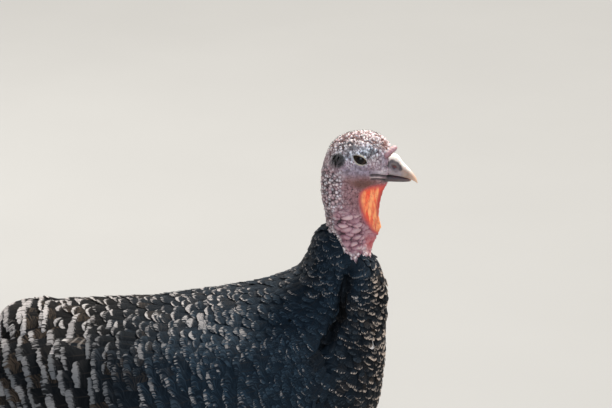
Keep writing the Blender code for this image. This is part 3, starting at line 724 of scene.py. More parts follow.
def slanted(x, z, centre, slant):
    """Side-view coordinates along and across a line that falls to the front by slant."""
    angle = math.radians(slant)
    along = (x - centre[0]) * math.cos(angle) - (z - centre[1]) * math.sin(angle)
    across = (x - centre[0]) * math.sin(angle) + (z - centre[1]) * math.cos(angle)
    return along, across


def eye_oval(x, z):
    """1 on the edge of the eye's opening, less inside: an oval with pointed ends."""
    along, across = slanted(x, z, (EYE_PLACE[0], EYE_PLACE[2]), EYE_SLANT)
    wide, high = EYE_OPENING
    return (np.abs(along / wide) ** EYE_POWER + np.abs(across / high) ** EYE_POWER) ** (1 / EYE_POWER)


def ear_oval(points):
    """1 on the edge of the ear's patch, less inside."""
    along, across = slanted(points[:, 0], points[:, 2], EAR_PLACE, EAR_SLANT)
    return np.hypot(along / EAR_HALVES[0], across / EAR_HALVES[1])


def crease_depth(points, side):
    """How far the fold between breast and shoulder is drawn in, at points of the side view."""
    away = line_distance(points[..., 0], points[..., 2], CREASE)
    return CREASE_DEPTH * hump(away, 0, CREASE_WIDTH) * ramp(30, 60, side) * ramp(140, 115, side)


def with_wattle(points, place, turn):
    """Draw the front of the throat out into the thin hanging fold."""
    front_x = np.interp(place, WATTLE_PLACES, WATTLE_FRONT[:, 0])
    front_z = np.interp(place, WATTLE_PLACES, WATTLE_FRONT[:, 1])
    inside = (place > WATTLE_PLACES[0]) & (place < WATTLE_PLACES[-1])
    share = np.clip(1 - (180 - np.abs(turn)) / WATTLE_TURN, 0, 1) * inside
    belly = loft(BODY, place, np.full_like(turn, 180.0))
    root = loft(BODY, place, np.full_like(turn, 180.0 - WATTLE_TURN))
    reach = ramp(0, 1, share) * 0.5 + share * 0.5
    half = lerp(root[:, 1], WATTLE_HALF, ramp(0, 0.45, share)) * np.sqrt(1 - share ** 3)
    crease = np.sin(2 * np.pi * (2.2 * share + place * 0.6)) * 0.8 * ramp(0.1, 0.5, share)
    drawn = np.stack([
        lerp(root[:, 0], front_x, reach),
        half * np.sign(turn) + crease * (1 - share),
        lerp(root[:, 2], front_z, reach),
    ], -1)
    drawn = np.where(share[:, None] > 0, drawn, points)
    extent = np.hypot(front_x - belly[:, 0], front_z - belly[:, 2])
    return lerp(points, drawn, (ramp(0.5, 4.0, extent) * inside)[:, None])


def round_eyes(points):
    """Stretch the skin over the eyeballs and sink it behind them inside the lids."""
    along, across = slanted(points[:, 0], points[:, 2], (EYE_PLACE[0], EYE_PLACE[2]), EYE_SLANT)
    reach = EYE_RADIUS + LID_COVER
    depth = reach ** 2 - along ** 2 - across ** 2
    over = EYE_PLACE[1] + np.sqrt(np.maximum(depth, 0))
    width = np.abs(points[:, 1])
    side = np.sign(points[:, 1])
    near = (depth > 0) & (width > 6)
    soft = np.where(near, np.logaddexp(width * 2, over * 2) / 2, width)
    soft = np.where(near, lerp(width, soft, ramp(0, 14, depth)), width)
    oval = eye_oval(points[:, 0], points[:, 2])
    sunk = EYE_PLACE[1] + np.sqrt(np.maximum(EYE_RADIUS ** 2 - along ** 2 - across ** 2, 0)) - 3.0
    soft = np.where(near, lerp(sunk, soft, ramp(0.90, 1.02, oval)), soft)
    points = points.copy()
    points[:, 1] = side * soft
    return points


def domes(points, size, seed):
    """Round beads: their height, 0 in the gaps and 1 on top, and a number from 0 to 1 for each."""
    first, gap, tag = cells(points, size, seed)
    height = np.sqrt(np.clip(1 - (first / 0.88) ** 2, 0, 1) * np.clip(gap / 0.25, 0, 1))
    return height, tag


class HeadSkin:
    """Where each kind of skin lies on neck and head, as masks from 0 to 1, its relief and colours."""

    def __init__(self, points, place, turn):
        self.points = points
        self.place = place
        self.x, _, self.z = points.T
        self.side = np.abs(turn)
        self.from_edge = place - bare_edge(turn)
        self.lay_regions()
        self.lay_features()
        self.lay_beads()

    def lay_regions(self):
        """Neck, nape, face and crown, the large folds, the flush over the crop and the wattle."""
        place = self.place
        self.bare = ramp(-0.4, 0.1, self.from_edge)
        self.face = ramp(17.2, 18.4, place)
        self.neck = 1 - self.face
        self.crown = ramp(72, 44, self.side) * ramp(17.4, 18.6, place)
        self.is_face = self.face * (1 - self.crown)
        self.on_side = ramp(26, 40, self.side) * ramp(165, 150, self.side) * self.face
        self.front = ramp(296, 301, self.x) * self.on_side
        self.large = ramp(15.7, 14.5, place) * ramp(35, 75, self.side) * ramp(0.10, 0.65, self.from_edge)
        self.fine = ramp(78, 100, self.side) * ramp(14.8, 15.6, place) * self.neck
        self.flush = hump(self.z, 495, 14) * ramp(138, 162, self.side) * ramp(12.6, 13.4, place)
        edge = np.interp(self.z, *WATTLE_EDGE.T)
        self.wattle = ramp(-7.0, 4.5, self.x - edge) * ramp(500, 517, self.z) * ramp(13.2, 14.2, place)
        self.wattle *= ramp(568.0, 551.0, self.z) * ramp(120, 142, self.side)

    def lay_features(self):
        """The eye's opening, the ear, the mouth, the jaw's line and where the skin is smooth."""
        points = self.points
        self.oval = eye_oval(self.x, self.z)
        self.near_eye = hump(np.maximum(self.oval - 1, 0), 0, 0.9) * self.on_side
        self.ear_oval = ear_oval(points) + 0.14 * (cells(points, 2.4, seed=29)[0] - 0.5)
        self.ear = ramp(1.16, 0.84, self.ear_oval) * self.on_side
        self.below_ear = self.patch("below_ear") * self.on_side
        self.mouth = line_distance(self.x, self.z, MOUTH)
        self.jaw = line_distance(self.x, self.z, JAW_LINE)
        gap = cells(points * (1.9, 1.0, 0.42), 3.4, seed=17)[1]
        self.crease = np.sqrt(np.clip(gap / 0.5, 0, 1))
        self.smooth = np.maximum.reduce([
            self.wattle, self.near_eye * 0.4, self.flush * 0.6, self.patch("calm") * self.on_side,
            self.ear, self.below_ear * 0.8, self.front * ramp(8, 3, self.mouth) * 0.9,
        ])

    def patch(self, name):
        """The patches of one name, added up."""
        return sum(strength * hump(self.x, x, wide) * hump(self.z, z, high)
                   for x, wide, z, high, strength in PATCHES[name])

    def lay_beads(self):
        """Round beads of a size for each place: their profile, their number and their height."""
        small, small_tag = domes(self.points, SMALL_BEAD, seed=3)
        tiny, tiny_tag = domes(self.points, SMALL_BEAD, seed=13)
        beads, self.bead_tag = domes(self.points * (1.0, 1.0, 1.15), NAPE_BEAD, seed=5)
        folds, self.fold_tag = domes(self.points * (1.0, 1.0, 2.5), FOLD_SIZE, seed=11)
        bead = lerp(lerp(beads, small, self.fine), folds, self.large)
        self.bead = lerp(lerp(bead, small, self.crown), tiny, self.is_face)
        tag = lerp(lerp(self.bead_tag, self.fold_tag, self.large), small_tag, self.crown)
        self.tag = lerp(tag, tiny_tag, self.is_face) * (1 - 0.5 * self.fine)
        height = lerp(lerp(2.1, 0.9, self.fine), 3.2, self.large) * (1 - 0.55 * self.face)
        height = lerp(height, 1.6, self.crown) * (0.6 + 0.7 * self.tag)
        self.height = lerp(height, 1.05, self.is_face)

    def lift(self):
        """Caruncles, papillae, folds, ears and mouth: how far the skin stands out or in."""
        lift = self.height * (self.bead - 0.35) * (1 - self.smooth)
        lift -= 1.3 * self.ear * np.sqrt(np.clip(1 - self.ear_oval ** 2 * 0.8, 0, 1))
        lift += 0.8 * hump(self.ear_oval, 1.22, 0.16) * self.on_side
        lift += (0.7 * hump(self.oval, 1.62, 0.22) - 0.5 * hump(self.oval, 1.34, 0.10)) * self.on_side
        lift += (0.75 * hump(self.mouth, 2.1, 1.1) - 1.9 * hump(self.mouth, 0, 1.0)) * self.front
        lift -= hump(self.jaw, 0, 0.9) * self.front
        lift -= 1.3 * ramp(23.2, 24.0, self.place) + 1.1 * self.crown
        lift += self.patch("forehead") * ramp(90, 40, self.side)
        lift += self.wattle * (self.crease - 0.5)
        lift *= self.bare
        coat = np.interp(BARE_EDGE + self.from_edge, *COAT_DEPTH.T)
        return lift - coat - crease_depth(self.points, self.side) * SKIN_CREASE

    def cool(self):
        """The blue-grey over eye and nape, and the lilac of the cheek."""
        nape = ramp(120, 60, self.side) * self.neck * (1 - self.large)
        blue = self.patch("blue") * self.on_side
        blue += nape * ramp(0.35, 0.65, second_draw(self.bead_tag))
        lilac = (self.patch("lilac") + 0.8 * self.below_ear) * self.on_side
        return blue, lilac, nape

    def pale(self, specks):
        """The palest skin: crown, nape, brow, the lips and some of the beads, and a painted highlight on
        the tops of the large folds.
        """
        pale = self.crown * (0.35 + 0.65 * self.tag) + self.below_ear * 0.02
        pale += ramp(108, 66, self.side) * self.neck * (1 - self.large) * (0.35 + 0.50 * self.tag)
        pale += (self.patch("pale_beads") * self.tag + self.patch("pale")) * self.on_side
        pale += self.patch("pale_brow") * ramp(110, 70, self.side)
        pale += self.near_eye * ramp(1.5, 1.1, self.oval) * 0.2
        pale += ramp(0.70, 0.2, self.from_edge) * ramp(0.25, 0.6, self.bead_tag) * 0.6
        # Painted highlight along the tops of the large folds of the neck.
        pale += self.large * ramp(0.80, 1.0, self.bead) * self.fold_tag * 0.14
        lip = 0.85 * hump(self.mouth, 2.2, 1.2) * ramp(316, 307, self.x)
        pale += lip * self.front * ramp(0, -1, self.z - 575.5 + (self.x - 306) * 0.16)
        return pale + self.patch("pale_specks") * specks * self.on_side

    def umber(self):
        """The brown under the jaw, between the crown's beads and down the nape, and at the root of the
        snood; under the jaw and at the snood's root it is painted shade.
        """
        jaw = self.patch("umber_jaw") * self.face ** 0.5 * (1 - self.wattle)
        crown = self.crown * ramp(0.48, 0.2, self.tag) * 0.85
        return jaw + crown + self.patch("umber_brow") + 0.44 * self.fine

    def dark(self, specks):
        """The ear, the lips' seam, the jaw's line, the lids' edge and the corner of the bill."""
        dusk = self.patch("dark_beads") + 0.7 * hump(self.oval, 1.45, 0.35) * ramp(590, 598, self.z)
        chin = ramp(308, 318, self.x) * ramp(573.5, 571.5, self.z) * ramp(562.5, 565.0, self.z)
        front = hump(self.mouth, 0, 1.5) * 0.95 + hump(self.jaw, 0, 1.15) * 0.85 + 0.75 * chin
        front += ramp(1.06, 0.80, cere_oval(self.x, self.z))
        side = 0.8 * ramp(1.06, 0.98, self.oval) + 0.8 * dusk * ramp(0.85, 0.40, self.tag)
        side += self.patch("dark_specks") * specks
        return self.ear * 0.93 + self.below_ear * 0.13 + front * self.front + side * self.on_side

    def masks(self):
        """The numbers that the skin's colours are read from."""
        speck, _, tag = cells(self.points, SPECK_SIZE, seed=41)
        speck = ramp(0.62, 0.36, speck)
        blue, lilac, nape = self.cool()
        # The beads' profile, from which the painted shade in the gaps and the painted highlight on the tops
        # are read: deeper on the nape, softer on the crown, none where the skin is smooth.
        shade = lerp(self.bead, 1.0, np.maximum(self.smooth * 0.9, self.is_face * 0.2))
        shade = np.clip(shade - 0.16 * nape, 0, 1)
        shade = lerp(shade, 0.35 + 0.65 * shade, self.crown)
        rim = ramp(171, 177, self.side) * ramp(514, 532, self.z)
        streak = 0.75 * (1 - self.crease) + 0.30 * ramp(530, 514, self.z)
        colours = {"blue": blue, "lilac": lilac, "pale": self.pale(speck * ramp(0.50, 0.35, tag)),
                   "umber": self.umber(), "dark": self.dark(speck * ramp(0.50, 0.65, tag))}
        return {
            "bead": lerp(1.0, shade, self.bare), "tag": self.tag,
            "wattle": np.maximum(self.wattle, 0.33 * self.flush),
            "vein": self.wattle * np.maximum(streak, rim),
            "lid": 0.0, "down": 1 - ramp(-0.5, -0.1, self.from_edge),
            **{name: np.clip(value, 0, 1) for name, value in colours.items()},
        }


def second_draw(tag):
    """Another even number for each cell, read off its first."""
    return np.modf(tag * 7.31 + 0.17)[0]


# The place from which the skin's rings lie close.
FINE_START = BARE_EDGE - 2.4
BODY_RINGS = 40
BARE_RINGS = 292
BODY_COLUMNS = 236


def body_skin():
    """The trunk, neck, head and wattle as one sheet, finest on the head."""
    mesh, u, v = sheet(BODY_COLUMNS, BODY_RINGS + BARE_RINGS)
    split = BODY_RINGS / (BODY_RINGS + BARE_RINGS)
    fine = lerp(FINE_START, BILL_ROOT, (v - split) / (1 - split))
    place = np.where(v < split, FINE_START * v / split, fine)
    around = 2 * u - 1
    turn = 180 * around + 20 * np.sin(np.pi * around)
    points = with_wattle(loft(BODY, place, turn), place, turn)
    side = np.abs(turn)
    form = 1.6 * hump(place, 20.2, 1.1) * hump(side, 52, 14)
    form += 1.2 * hump(place, 19.4, 1.0) * hump(side, 122, 22)
    form -= 2.5 * hump(place, 20.0, 0.62) * hump(side, 88, 26)
    points = points + outward(grid_normals(points, u, v), points, place) * form[:, None]
    points = round_eyes(points)
    skin = HeadSkin(points, place, turn)
    normals = outward(grid_normals(points, u, v), points, place)
    return finished(mesh, points + normals * skin.lift()[:, None], **skin.masks())


def outward(normals, points, place):
    """Turn the normals of a loft's sheet away from its middle line."""
    middle = loft(BODY, place, np.full_like(place, 90.0))
    middle[:, 1] = 0
    if np.sum((points - middle) * normals) < 0:
        return -normals
    return normals


def lid_rims(side):
    """The rolled rims of the two lids, an oval ring lying on the eyeball."""
    mesh, u, v = sheet(columns=10, rows=72)
    around = 2 * np.pi * v
    fold = 2 * np.pi * u
    ahead, up = (np.sign(way) * np.abs(way) ** (2 / EYE_POWER) for way in (np.cos(around), np.sin(around)))
    along = EYE_OPENING[0] * ahead
    across = EYE_OPENING[1] * up
    thick = lerp(0.72, 1.10, np.abs(np.sin(around)))
    grown = 1 + (0.35 + thick * np.cos(fold)) / np.maximum(np.hypot(along, across), 2.0)
    along = along * grown
    across = across * grown
    out = np.sqrt(np.maximum((EYE_RADIUS + 0.45) ** 2 - along ** 2 - across ** 2, 0))
    x, z = slanted(along, across, (0, 0), -EYE_SLANT)
    y = side * (EYE_PLACE[1] + out + thick * np.sin(fold))
    return finished(mesh, np.stack([EYE_PLACE[0] + x, y, EYE_PLACE[2] + z], -1), bead=1.0, lid=1.0)


SNOOD_LINE = [(311.6, -8.5, 594.0), (316.2, -10.6, 597.4), (321.2, -8.0, 601.0), (326.4, -4.4, 603.8)]
SNOOD_RADII = [3.0, 4.0, 3.9, 3.6, 3.4, 3.1, 1.8]


def snood_skin():
    """The short fleshy horn over the bill, pale on top and brown below: painted light on its top, painted
    shade under it.
    """
    mesh, u, v = sheet(columns=28, rows=60)
    turn = 360 * u - 180
    side = np.abs(turn)
    wrinkle = 0.07 * np.sin(v * 44 + 1.6 * np.sin(np.radians(turn) * 2 + 0.8)) * ramp(1.0, 0.85, v)
    # Painted shade under the snood and painted light on its top.
    umber = 0.75 * ramp(95, 150, side) * ramp(0.95, 0.5, v)
    pale = 0.45 * ramp(85, 35, side) * ramp(0.2, 0.5, v)
    return finished(mesh, tube(SNOOD_LINE, SNOOD_RADII, v, turn, wrinkle), umber=umber, pale=pale,
                    bead=0.78 + wrinkle * 1.5, tag=lerp(0.15, 0.5, v))


HIP = (112, 40, 272)
KNEE_FRONT = (110, 47, 224)
CALF = (83, 51, 180)
HOCK = (53, 50, 143)
ANKLE = (74, 49, 20)
THIGH_RADII = [34.0, 33.0, 23.0, 12.5]
SHANK_RADII = [9.0, 10.6, 7.4, 6.6, 6.8, 8.6]
THIGH_COAT = 4.0


def mirrored(points, side):
    return [(x, y * side, z) for x, y, z in points]


def thigh_line(side):
    return mirrored([HIP, KNEE_FRONT, CALF, HOCK], side)


def thigh_skin(side):
    mesh, u, v = sheet(columns=32, rows=24)
    points = tube(thigh_line(side), THIGH_RADII, v, 360 * u - 180, -THIGH_COAT * ramp(1.0, 0.8, v))
    return finished(mesh, points, bead=1.0, down=1.0)


def wing_depth(along, across):
    depth = share_of(WING_DEPTH, np.clip(along / WING_CORE_END, 0, 1))
    return lerp(2.0, depth, np.sqrt(np.sin(np.pi * np.clip(across, 0, 1))))


def wing_point(along, across, lift):
    """A point on the right-hand wing; along runs back from the wrist, across down from its top."""
    edges = share_of(WING_EDGES, along)
    return raised(FOLD, WING_FRONT * (1 - along), lerp(edges[..., 0], edges[..., 1], across), lift)


def wing_flesh(side):
    """The dark body of the wing under its feathers."""
    mesh, u, v = sheet(columns=48, rows=30)
    under = u > 0.5
    across = np.where(under, 2 - 2 * u, 2 * u)
    along = lerp(WING_FLESH_START, WING_CORE_END, v)
    lift = np.where(under, -3.0, wing_depth(along, across) - 3.0)
    return finished(mesh, wing_point(along, across, lift) * (1, side, 1), bead=1.0, down=1.0)


def make_skin():
    parts = [body_skin(), snood_skin()]
    for side in SIDES.values():
        parts.append(lid_rims(side))
        parts.append(thigh_skin(side))
        parts.append(wing_flesh(side))
    nodes = ["torso", "neck", "neck_bare", "head", "snood", "wattle", "thigh_right", "thigh_left"]
    piece("skin", joined(parts), skin_finish(), "skin", *nodes)


# Eyes and bill.


def make_eye(label, side, finish):
    """An eyeball with the slight bulge of its cornea."""
    mesh, u, v = sheet(columns=48, rows=36)
    angle = np.pi * v
    around = 2 * np.pi * u
    radius = EYE_RADIUS + 0.35 * hump(v, 0, 0.16)
    x = EYE_PLACE[0] + radius * np.sin(angle) * np.cos(around)
    z = EYE_PLACE[2] + radius * np.sin(angle) * np.sin(around)
    y = side * (EYE_PLACE[1] + radius * np.cos(angle))
    mesh = finished(mesh, np.stack([x, y, z], -1), out=v * 2)
    piece("eyeball_" + label, mesh, finish, "eye", "eye_" + label)


# Sections of the two halves of the bill, from root to tip: x, top, bottom and half the width.
UPPER_BILL = [
    (316.5, 597.0, 573.4, 10.2),
    (320.4, 596.0, 572.8, 9.4),
    (325.0, 595.2, 571.8, 8.2),
    (329.4, 592.4, 570.9, 7.4),
    (333.4, 586.6, 570.0, 6.6),
    (338.6, 580.8, 568.6, 5.5),
    (344.0, 574.6, 566.4, 4.0),
    (347.8, 568.6, 563.8, 2.3),
    (349.4, 563.4, 562.2, 0.5),
]
LOWER_BILL = [
    (315.0, 573.2, 565.0, 9.4),
    (320.2, 572.7, 565.2, 8.4),
    (326.0, 571.7, 564.8, 7.0),
    (333.0, 570.2, 564.5, 5.2),
    (339.0, 568.5, 564.5, 3.0),
    (342.4, 566.6, 564.8, 0.6),
]
NOSTRIL = (326.6, 583.6)
NOSTRIL_SLANT = 32
SLOT = (324.4, 583.0)


def bill_point(rows, middle_share):
    """Points of one half of the bill: arched on one side, nearly flat where the halves close."""

    def point_at(along, turn):
        x, top, bottom, half = share_of(rows, along).T
        angle = np.radians(turn)
        up = np.cos(angle)
        middle = lerp(top, bottom, middle_share)
        z = middle + up * np.where(up > 0, top - middle, middle - bottom)
        y = half * np.sign(np.sin(angle)) * np.abs(np.sin(angle)) ** 0.8
        return np.stack([x, y, z], -1)

    return point_at


def cere_oval(x, z):
    """1 on the edge of the dark drop of skin round the nostril, less inside."""
    forward = np.clip((x - NOSTRIL[0]) / 9.0, -1, 1)
    along, across = slanted(x, z, (NOSTRIL[0] - 1.0, NOSTRIL[1] + 0.6), NOSTRIL_SLANT)
    return np.hypot(along / 9.6, across / (4.7 - 2.2 * forward))


def nostril_oval(points, wide, high):
    along, across = slanted(points[:, 0], points[:, 2], SLOT, NOSTRIL_SLANT)
    return np.hypot(along / wide, across / high)


def upper_relief(along, turn, points):
    side = ramp(20, 45, np.abs(turn)) * ramp(160, 130, np.abs(turn))
    slot = np.exp(-nostril_oval(points, 3.2, 1.2) ** 2 * 1.2) * side
    hood = hump(nostril_oval(points, 4.2, 2.6), 1.1, 0.4) * side
    ridges = 0.05 * np.sin(points[:, 0] * 3.1 + points[:, 2])
    return -2.2 * slot + 0.45 * hood + ridges


def upper_marks(along, turn, points):
    """Where the upper half is cream, horn-coloured, grey round the nostril, open or pinkish."""
    x, _, z = points.T
    side = np.abs(turn)
    oval = cere_oval(x, z) + 0.3 * (cells(points, 3.4, seed=37)[0] - 0.5)
    lobe = hump(x, 326.5, 3.0) * hump(z, 578.6, 1.9)
    hood = hump(nostril_oval(points, 4.0, 2.3), 1.15, 0.35)
    mottle = 0.82 + 0.18 * cells(points, 2.2, seed=38)[2] - 0.34 * hood
    ragged = 2.5 * (cells(points, 4.0, seed=39)[0] - 0.5)
    edge = lerp(320.0, 333.0, ramp(588, 575, z))
    return {
        # The cream ridge: partly the horn's own colour, partly painted sunlight on the top of the bill.
        "ridge": ramp(68, 20, side) * ramp(0.98, 0.58, along),
        "hook": ramp(0.60, 0.92, along),
        "cere": np.maximum(ramp(1.06, 0.80, oval), 0.9 * lobe) * ramp(14, 34, side) * mottle,
        "slot": ramp(1.4, 0.6, nostril_oval(points, 2.6, 0.85)) * ramp(20, 45, side),
        "root": ramp(3.5, -3.5, x - edge + ragged) * ramp(8, 40, side),
    }


def lower_marks(along, turn, points):
    """The lower half is dark grey but for its tip and a seam along the edge."""
    seam = hump(points[:, 2], lerp(568.6, 566.8, along), 0.9)
    grey = lerp(0.98, 0.78, seam) * ramp(1.05, 0.85, along)
    return {"hook": ramp(0.60, 0.92, along), "cere": grey, "ridge": 0.0, "slot": 0.0, "root": 0.0}


def make_bill():
    finish = bill_finish()
    upper = wrapped(bill_point(UPPER_BILL, 0.8), upper_marks, upper_relief, columns=72, rows=90)
    lower = wrapped(bill_point(LOWER_BILL, 0.25), lower_marks, columns=40, rows=44)
    piece("bill_top", upper, finish, "bill_horn", "bill_upper")
    piece("bill_under", lower, finish, "bill_horn", "bill_lower")


# Legs.

# Each toe's turn from straight ahead, its length, and its radius at the root and the tip.
TOES = {
    "middle": (0, 74, 7.2, 4.4),
    "inner": (-34, 54, 6.4, 4.0),
    "outer": (36, 56, 6.4, 4.0),
    "hind": (170, 28, 5.2, 3.6),
}
CLAW_LENGTH = 15
CLAW_RADII = [2.9, 2.5, 1.7, 0.35]
SHANK_BEND = (61, 49.5, 80)
SHANK_LENGTH = 126
KNUCKLE_RADII = [6.5, 10.4, 10.8, 8.0]
KNUCKLE_LENGTH = 20


def scutes(along_mm, angle, points, period, seed):
    """Shields across the front and small round scales behind: heights and seams."""
    front = ramp(105, 75, np.abs(angle))
    step = along_mm / period + 0.5 * (angle > 0)
    phase = step - np.floor(step)
    shield = phase ** 0.6 * ramp(1.0, 0.86, phase) * lerp(0.35, 1.0, 1 - hump(angle, 0, 5.0))
    _, gap, tag = cells(points, 2.6, seed)
    beads = np.sqrt(np.clip(gap / 0.5, 0, 1))
    seam = lerp(beads, np.minimum(shield * 1.6, 1.0), front)
    return lerp(0.45 * (beads - 0.4), 0.8 * (shield - 0.45), front), seam, tag


def scaled_tube(line, radii, length, period, columns, rows, seed):
    """A scaly limb whose ends stay smooth."""
    mesh, u, v = sheet(columns, rows)
    angle = 360 * u - 180
    height, seam, tag = scutes(v * length, angle, tube(line, radii, v, angle), period, seed)
    points = tube(line, radii, v, angle, height * ramp(0.0, 0.04, v) * ramp(1.0, 0.96, v))
    points[:, 2] = np.maximum(points[:, 2], 0.0)
    return finished(mesh, points, seam=seam, tag=tag)


def toe_way(side, toe):
    turn = math.radians(TOES[toe][0])
    return np.array((math.cos(turn), side * math.sin(turn), 0.0))


def toe_root(side):
    return np.array((ANKLE[0] + 2.0, ANKLE[1] * side, 0.0))


def toe_mesh(side, toe, seed):
    _, length, thick, thin = TOES[toe]
    way = toe_way(side, toe)
    root = toe_root(side)
    line = [root + (0, 0, 9), root + way * length * 0.5, root + way * length]
    line[1][2] = thick * 0.85
    line[2][2] = thin * 0.8
    radii = [thick * 1.15, thick, thick * 0.82, thick * 0.9, thin, thin * 0.5]
    return scaled_tube(line, radii, length, period=3.9, columns=36, rows=int(length * 1.5), seed=seed)


def claw_mesh(side, toe):
    """A claw on from the end of its toe, down to the floor."""
    _, length, _, thin = TOES[toe]
    way = toe_way(side, toe)
    root = toe_root(side)
    line = [
        root + way * (length - 5) + (0, 0, thin * 0.9),
        root + way * (length + CLAW_LENGTH * 0.45) + (0, 0, thin * 1.15),
        root + way * (length + CLAW_LENGTH) + (0, 0, 0.9),
    ]
    mesh, u, v = sheet(columns=20, rows=30)
    return finished(mesh, tube(line, CLAW_RADII, v, 360 * u - 180))


def make_legs():
    finish = leg_finish()
    horn = claw_finish()
    for label, side in SIDES.items():
        line = mirrored([HOCK, SHANK_BEND, ANKLE], side)
        parts = [scaled_tube(line, SHANK_RADII, SHANK_LENGTH, period=6.4, columns=60, rows=170, seed=21)]
        knuckle = [np.array(ANKLE) * (1, side, 1) + (0.6, 0, 6), toe_root(side) + (0.6, 0, 3.0)]
        parts.append(scaled_tube(knuckle, KNUCKLE_RADII, KNUCKLE_LENGTH,
                                 period=5.0, columns=56, rows=40, seed=23))
        parts += [toe_mesh(side, toe, 31 + index) for index, toe in enumerate(TOES)]
        piece("leg_" + label, joined(parts), finish, "leg_scales", "shank_" + label, "foot_" + label)
        claws = joined([claw_mesh(side, toe) for toe in TOES])
        nodes = ["claw_" + toe + "_" + label for toe in TOES]
        piece("claws_" + label, claws, horn, "claw", *nodes)


# Feathers.


class Field:
    """A surface that feathers grow on: two numbers and a lift in millimetres give a point."""

    def __init__(self, point, span_a, span_b, way):
        self.point = point
        self.span_a = span_a
        self.span_b = span_b
        self.way = way

    def slopes(self, a, b):
        """The surface's directions for a and b, and the way off it."""
        step_a = abs(self.span_a[1] - self.span_a[0]) * 0.0005
        step_b = abs(self.span_b[1] - self.span_b[0]) * 0.0005
        low = np.zeros_like(a)
        to_a = (self.point(a + step_a, b, low) - self.point(a - step_a, b, low)) / (2 * step_a)
        to_b = (self.point(a, b + step_b, low) - self.point(a, b - step_b, low)) / (2 * step_b)
        up = self.point(a, b, low + 1) - self.point(a, b, low)
        return to_a, to_b, unit(up)


BAR_RATE = 0.55
VANE_OUTLINE = [0.40, 0.80, 0.98, 1.0, 0.92]
VANE_MARKS = ("band", "broken", "bars", "tone", "brown", "dull")


def vane_ways(field, a, b, yaw):
    """How far a and b change for a millimetre along and across each feather, and the way off."""
    to_a, to_b, up = field.slopes(a, b)
    flow = unit(to_a * field.way)
    ahead = flow * np.cos(yaw) + np.cross(up, flow) * np.sin(yaw)
    aa, ab, bb = (np.sum(p * q, -1) for p, q in ((to_a, to_a), (to_a, to_b), (to_b, to_b)))
    spread = aa * bb - ab ** 2
    ways = []
    for way in (ahead, np.cross(up, ahead)):
        on_a = np.sum(to_a * way, -1)
        on_b = np.sum(to_b * way, -1)
        ways += [(bb * on_a - ab * on_b) / spread, (aa * on_b - ab * on_a) / spread]
    return [part[:, None, None] for part in ways], up


def grow(name, field, roots, rows, columns, seed):
    """Join feathers into one mesh, each bent along the field from its root.

    roots holds a, b, length, width, low and high for each feather, and may hold yaw, round, camber,
    tilt, bow, ragged and the marks, each as one number for all or one for each.
    """
    draw = np.random.default_rng(seed)
    a = np.asarray(roots["a"], float)
    b = np.asarray(roots["b"], float)
    count = len(a)

    def take(key, usual=0.0):
        return np.broadcast_to(roots.get(key, usual), count)[:, None, None].astype(float)

    (ahead_a, ahead_b, across_a, across_b), up = vane_ways(field, a, b, take("yaw")[:, :, 0])
    s = np.linspace(0, 1, rows)[None, :, None] ** 0.85
    t = np.linspace(-1, 1, columns)[None, None, :]
    length = take("length")
    outline = share_of(VANE_OUTLINE, s)
    fray = draw.uniform(-1, 0.35, (count, 1, columns)) * take("ragged", 0.03)
    forward = length * (s - take("round", 0.17) * s ** 3 * t ** 2 + fray * s ** 5)
    bow = draw.uniform(-1, 1, (count, 1, 1)) * take("bow", 0.07) * length
    sideways = take("width") * 0.5 * outline * t + bow * s ** 2
    lift = lerp(take("low"), take("high"), s ** 0.8) + take("tilt") * t * s
    lift = lift - take("camber", 1.0) * t ** 2 * outline + draw.uniform(-0.22, 0.22, (count, 1, 1))
    place_a = a[:, None, None] + forward * ahead_a + sideways * across_a
    place_b = b[:, None, None] + forward * ahead_b + sideways * across_b
    points = field.point(place_a.ravel(), place_b.ravel(), lift.ravel())
    if np.isnan(points).any():
        raise ValueError("a feather of " + name + " has no place")
    mesh = vane_mesh(name, points, up, rows, columns)
    map_vanes(mesh, field, a, b, s, t)
    per_vane = {key: take(key) for key in VANE_MARKS}
    per_vane["seed"] = draw.random((count, 1, 1))
    per_vane["rate"] = length * BAR_RATE
    shape = (count, rows, columns)
    mark(mesh, **{key: np.broadcast_to(value, shape).ravel() for key, value in per_vane.items()})
    return mesh


def map_vanes(mesh, field, a, b, s, t):
    """Two UV maps: the place on the vane, and a small patch for each feather to bake in."""
    shape = (len(a), s.shape[1], t.shape[2], 2)
    vane = np.stack(np.broadcast_arrays(t * 0.5 + 0.5, s), -1)
    vane = np.broadcast_to(vane, shape).reshape(-1, 2)
    map_points(mesh, "feather", vane)
    span = np.array([field.span_b[1] - field.span_b[0], field.span_a[1] - field.span_a[0]])
    home = np.stack([b - field.span_b[0], a - field.span_a[0]], -1) / span
    home = np.broadcast_to(np.clip(home, 0, 1)[:, None, None, :] * 0.996, shape).reshape(-1, 2)
    map_points(mesh, "OFBake", home + vane * 0.003)


def vane_mesh(name, points, up, rows, columns):
    """Grids of faces, one for each feather, from their points in order, that face the way up."""
    corner = np.arange(len(points)).reshape(-1, rows, columns)
    faces = np.stack([
        corner[:, :-1, :-1], corner[:, :-1, 1:], corner[:, 1:, 1:], corner[:, 1:, :-1],
    ], -1).reshape(-1, 4)
    mesh = bpy.data.meshes.new(name)
    mesh.vertices.add(len(points))
    mesh.loops.add(faces.size)
    mesh.polygons.add(len(faces))
    bend(mesh, points)
    mesh.loops.foreach_set("vertex_index", faces.ravel().astype(np.int32))
    mesh.polygons.foreach_set("loop_start", np.arange(0, faces.size, 4, dtype=np.int32))
    mesh.update(calc_edges=True)
    normals = np.empty(len(faces) * 3, np.float32)
    mesh.polygons.foreach_get("normal", normals)
    each = (rows - 1) * (columns - 1)
    if np.sum(normals.reshape(-1, each, 3).mean(axis=1) * up) < 0:
        mesh.flip_normals()
    return mesh


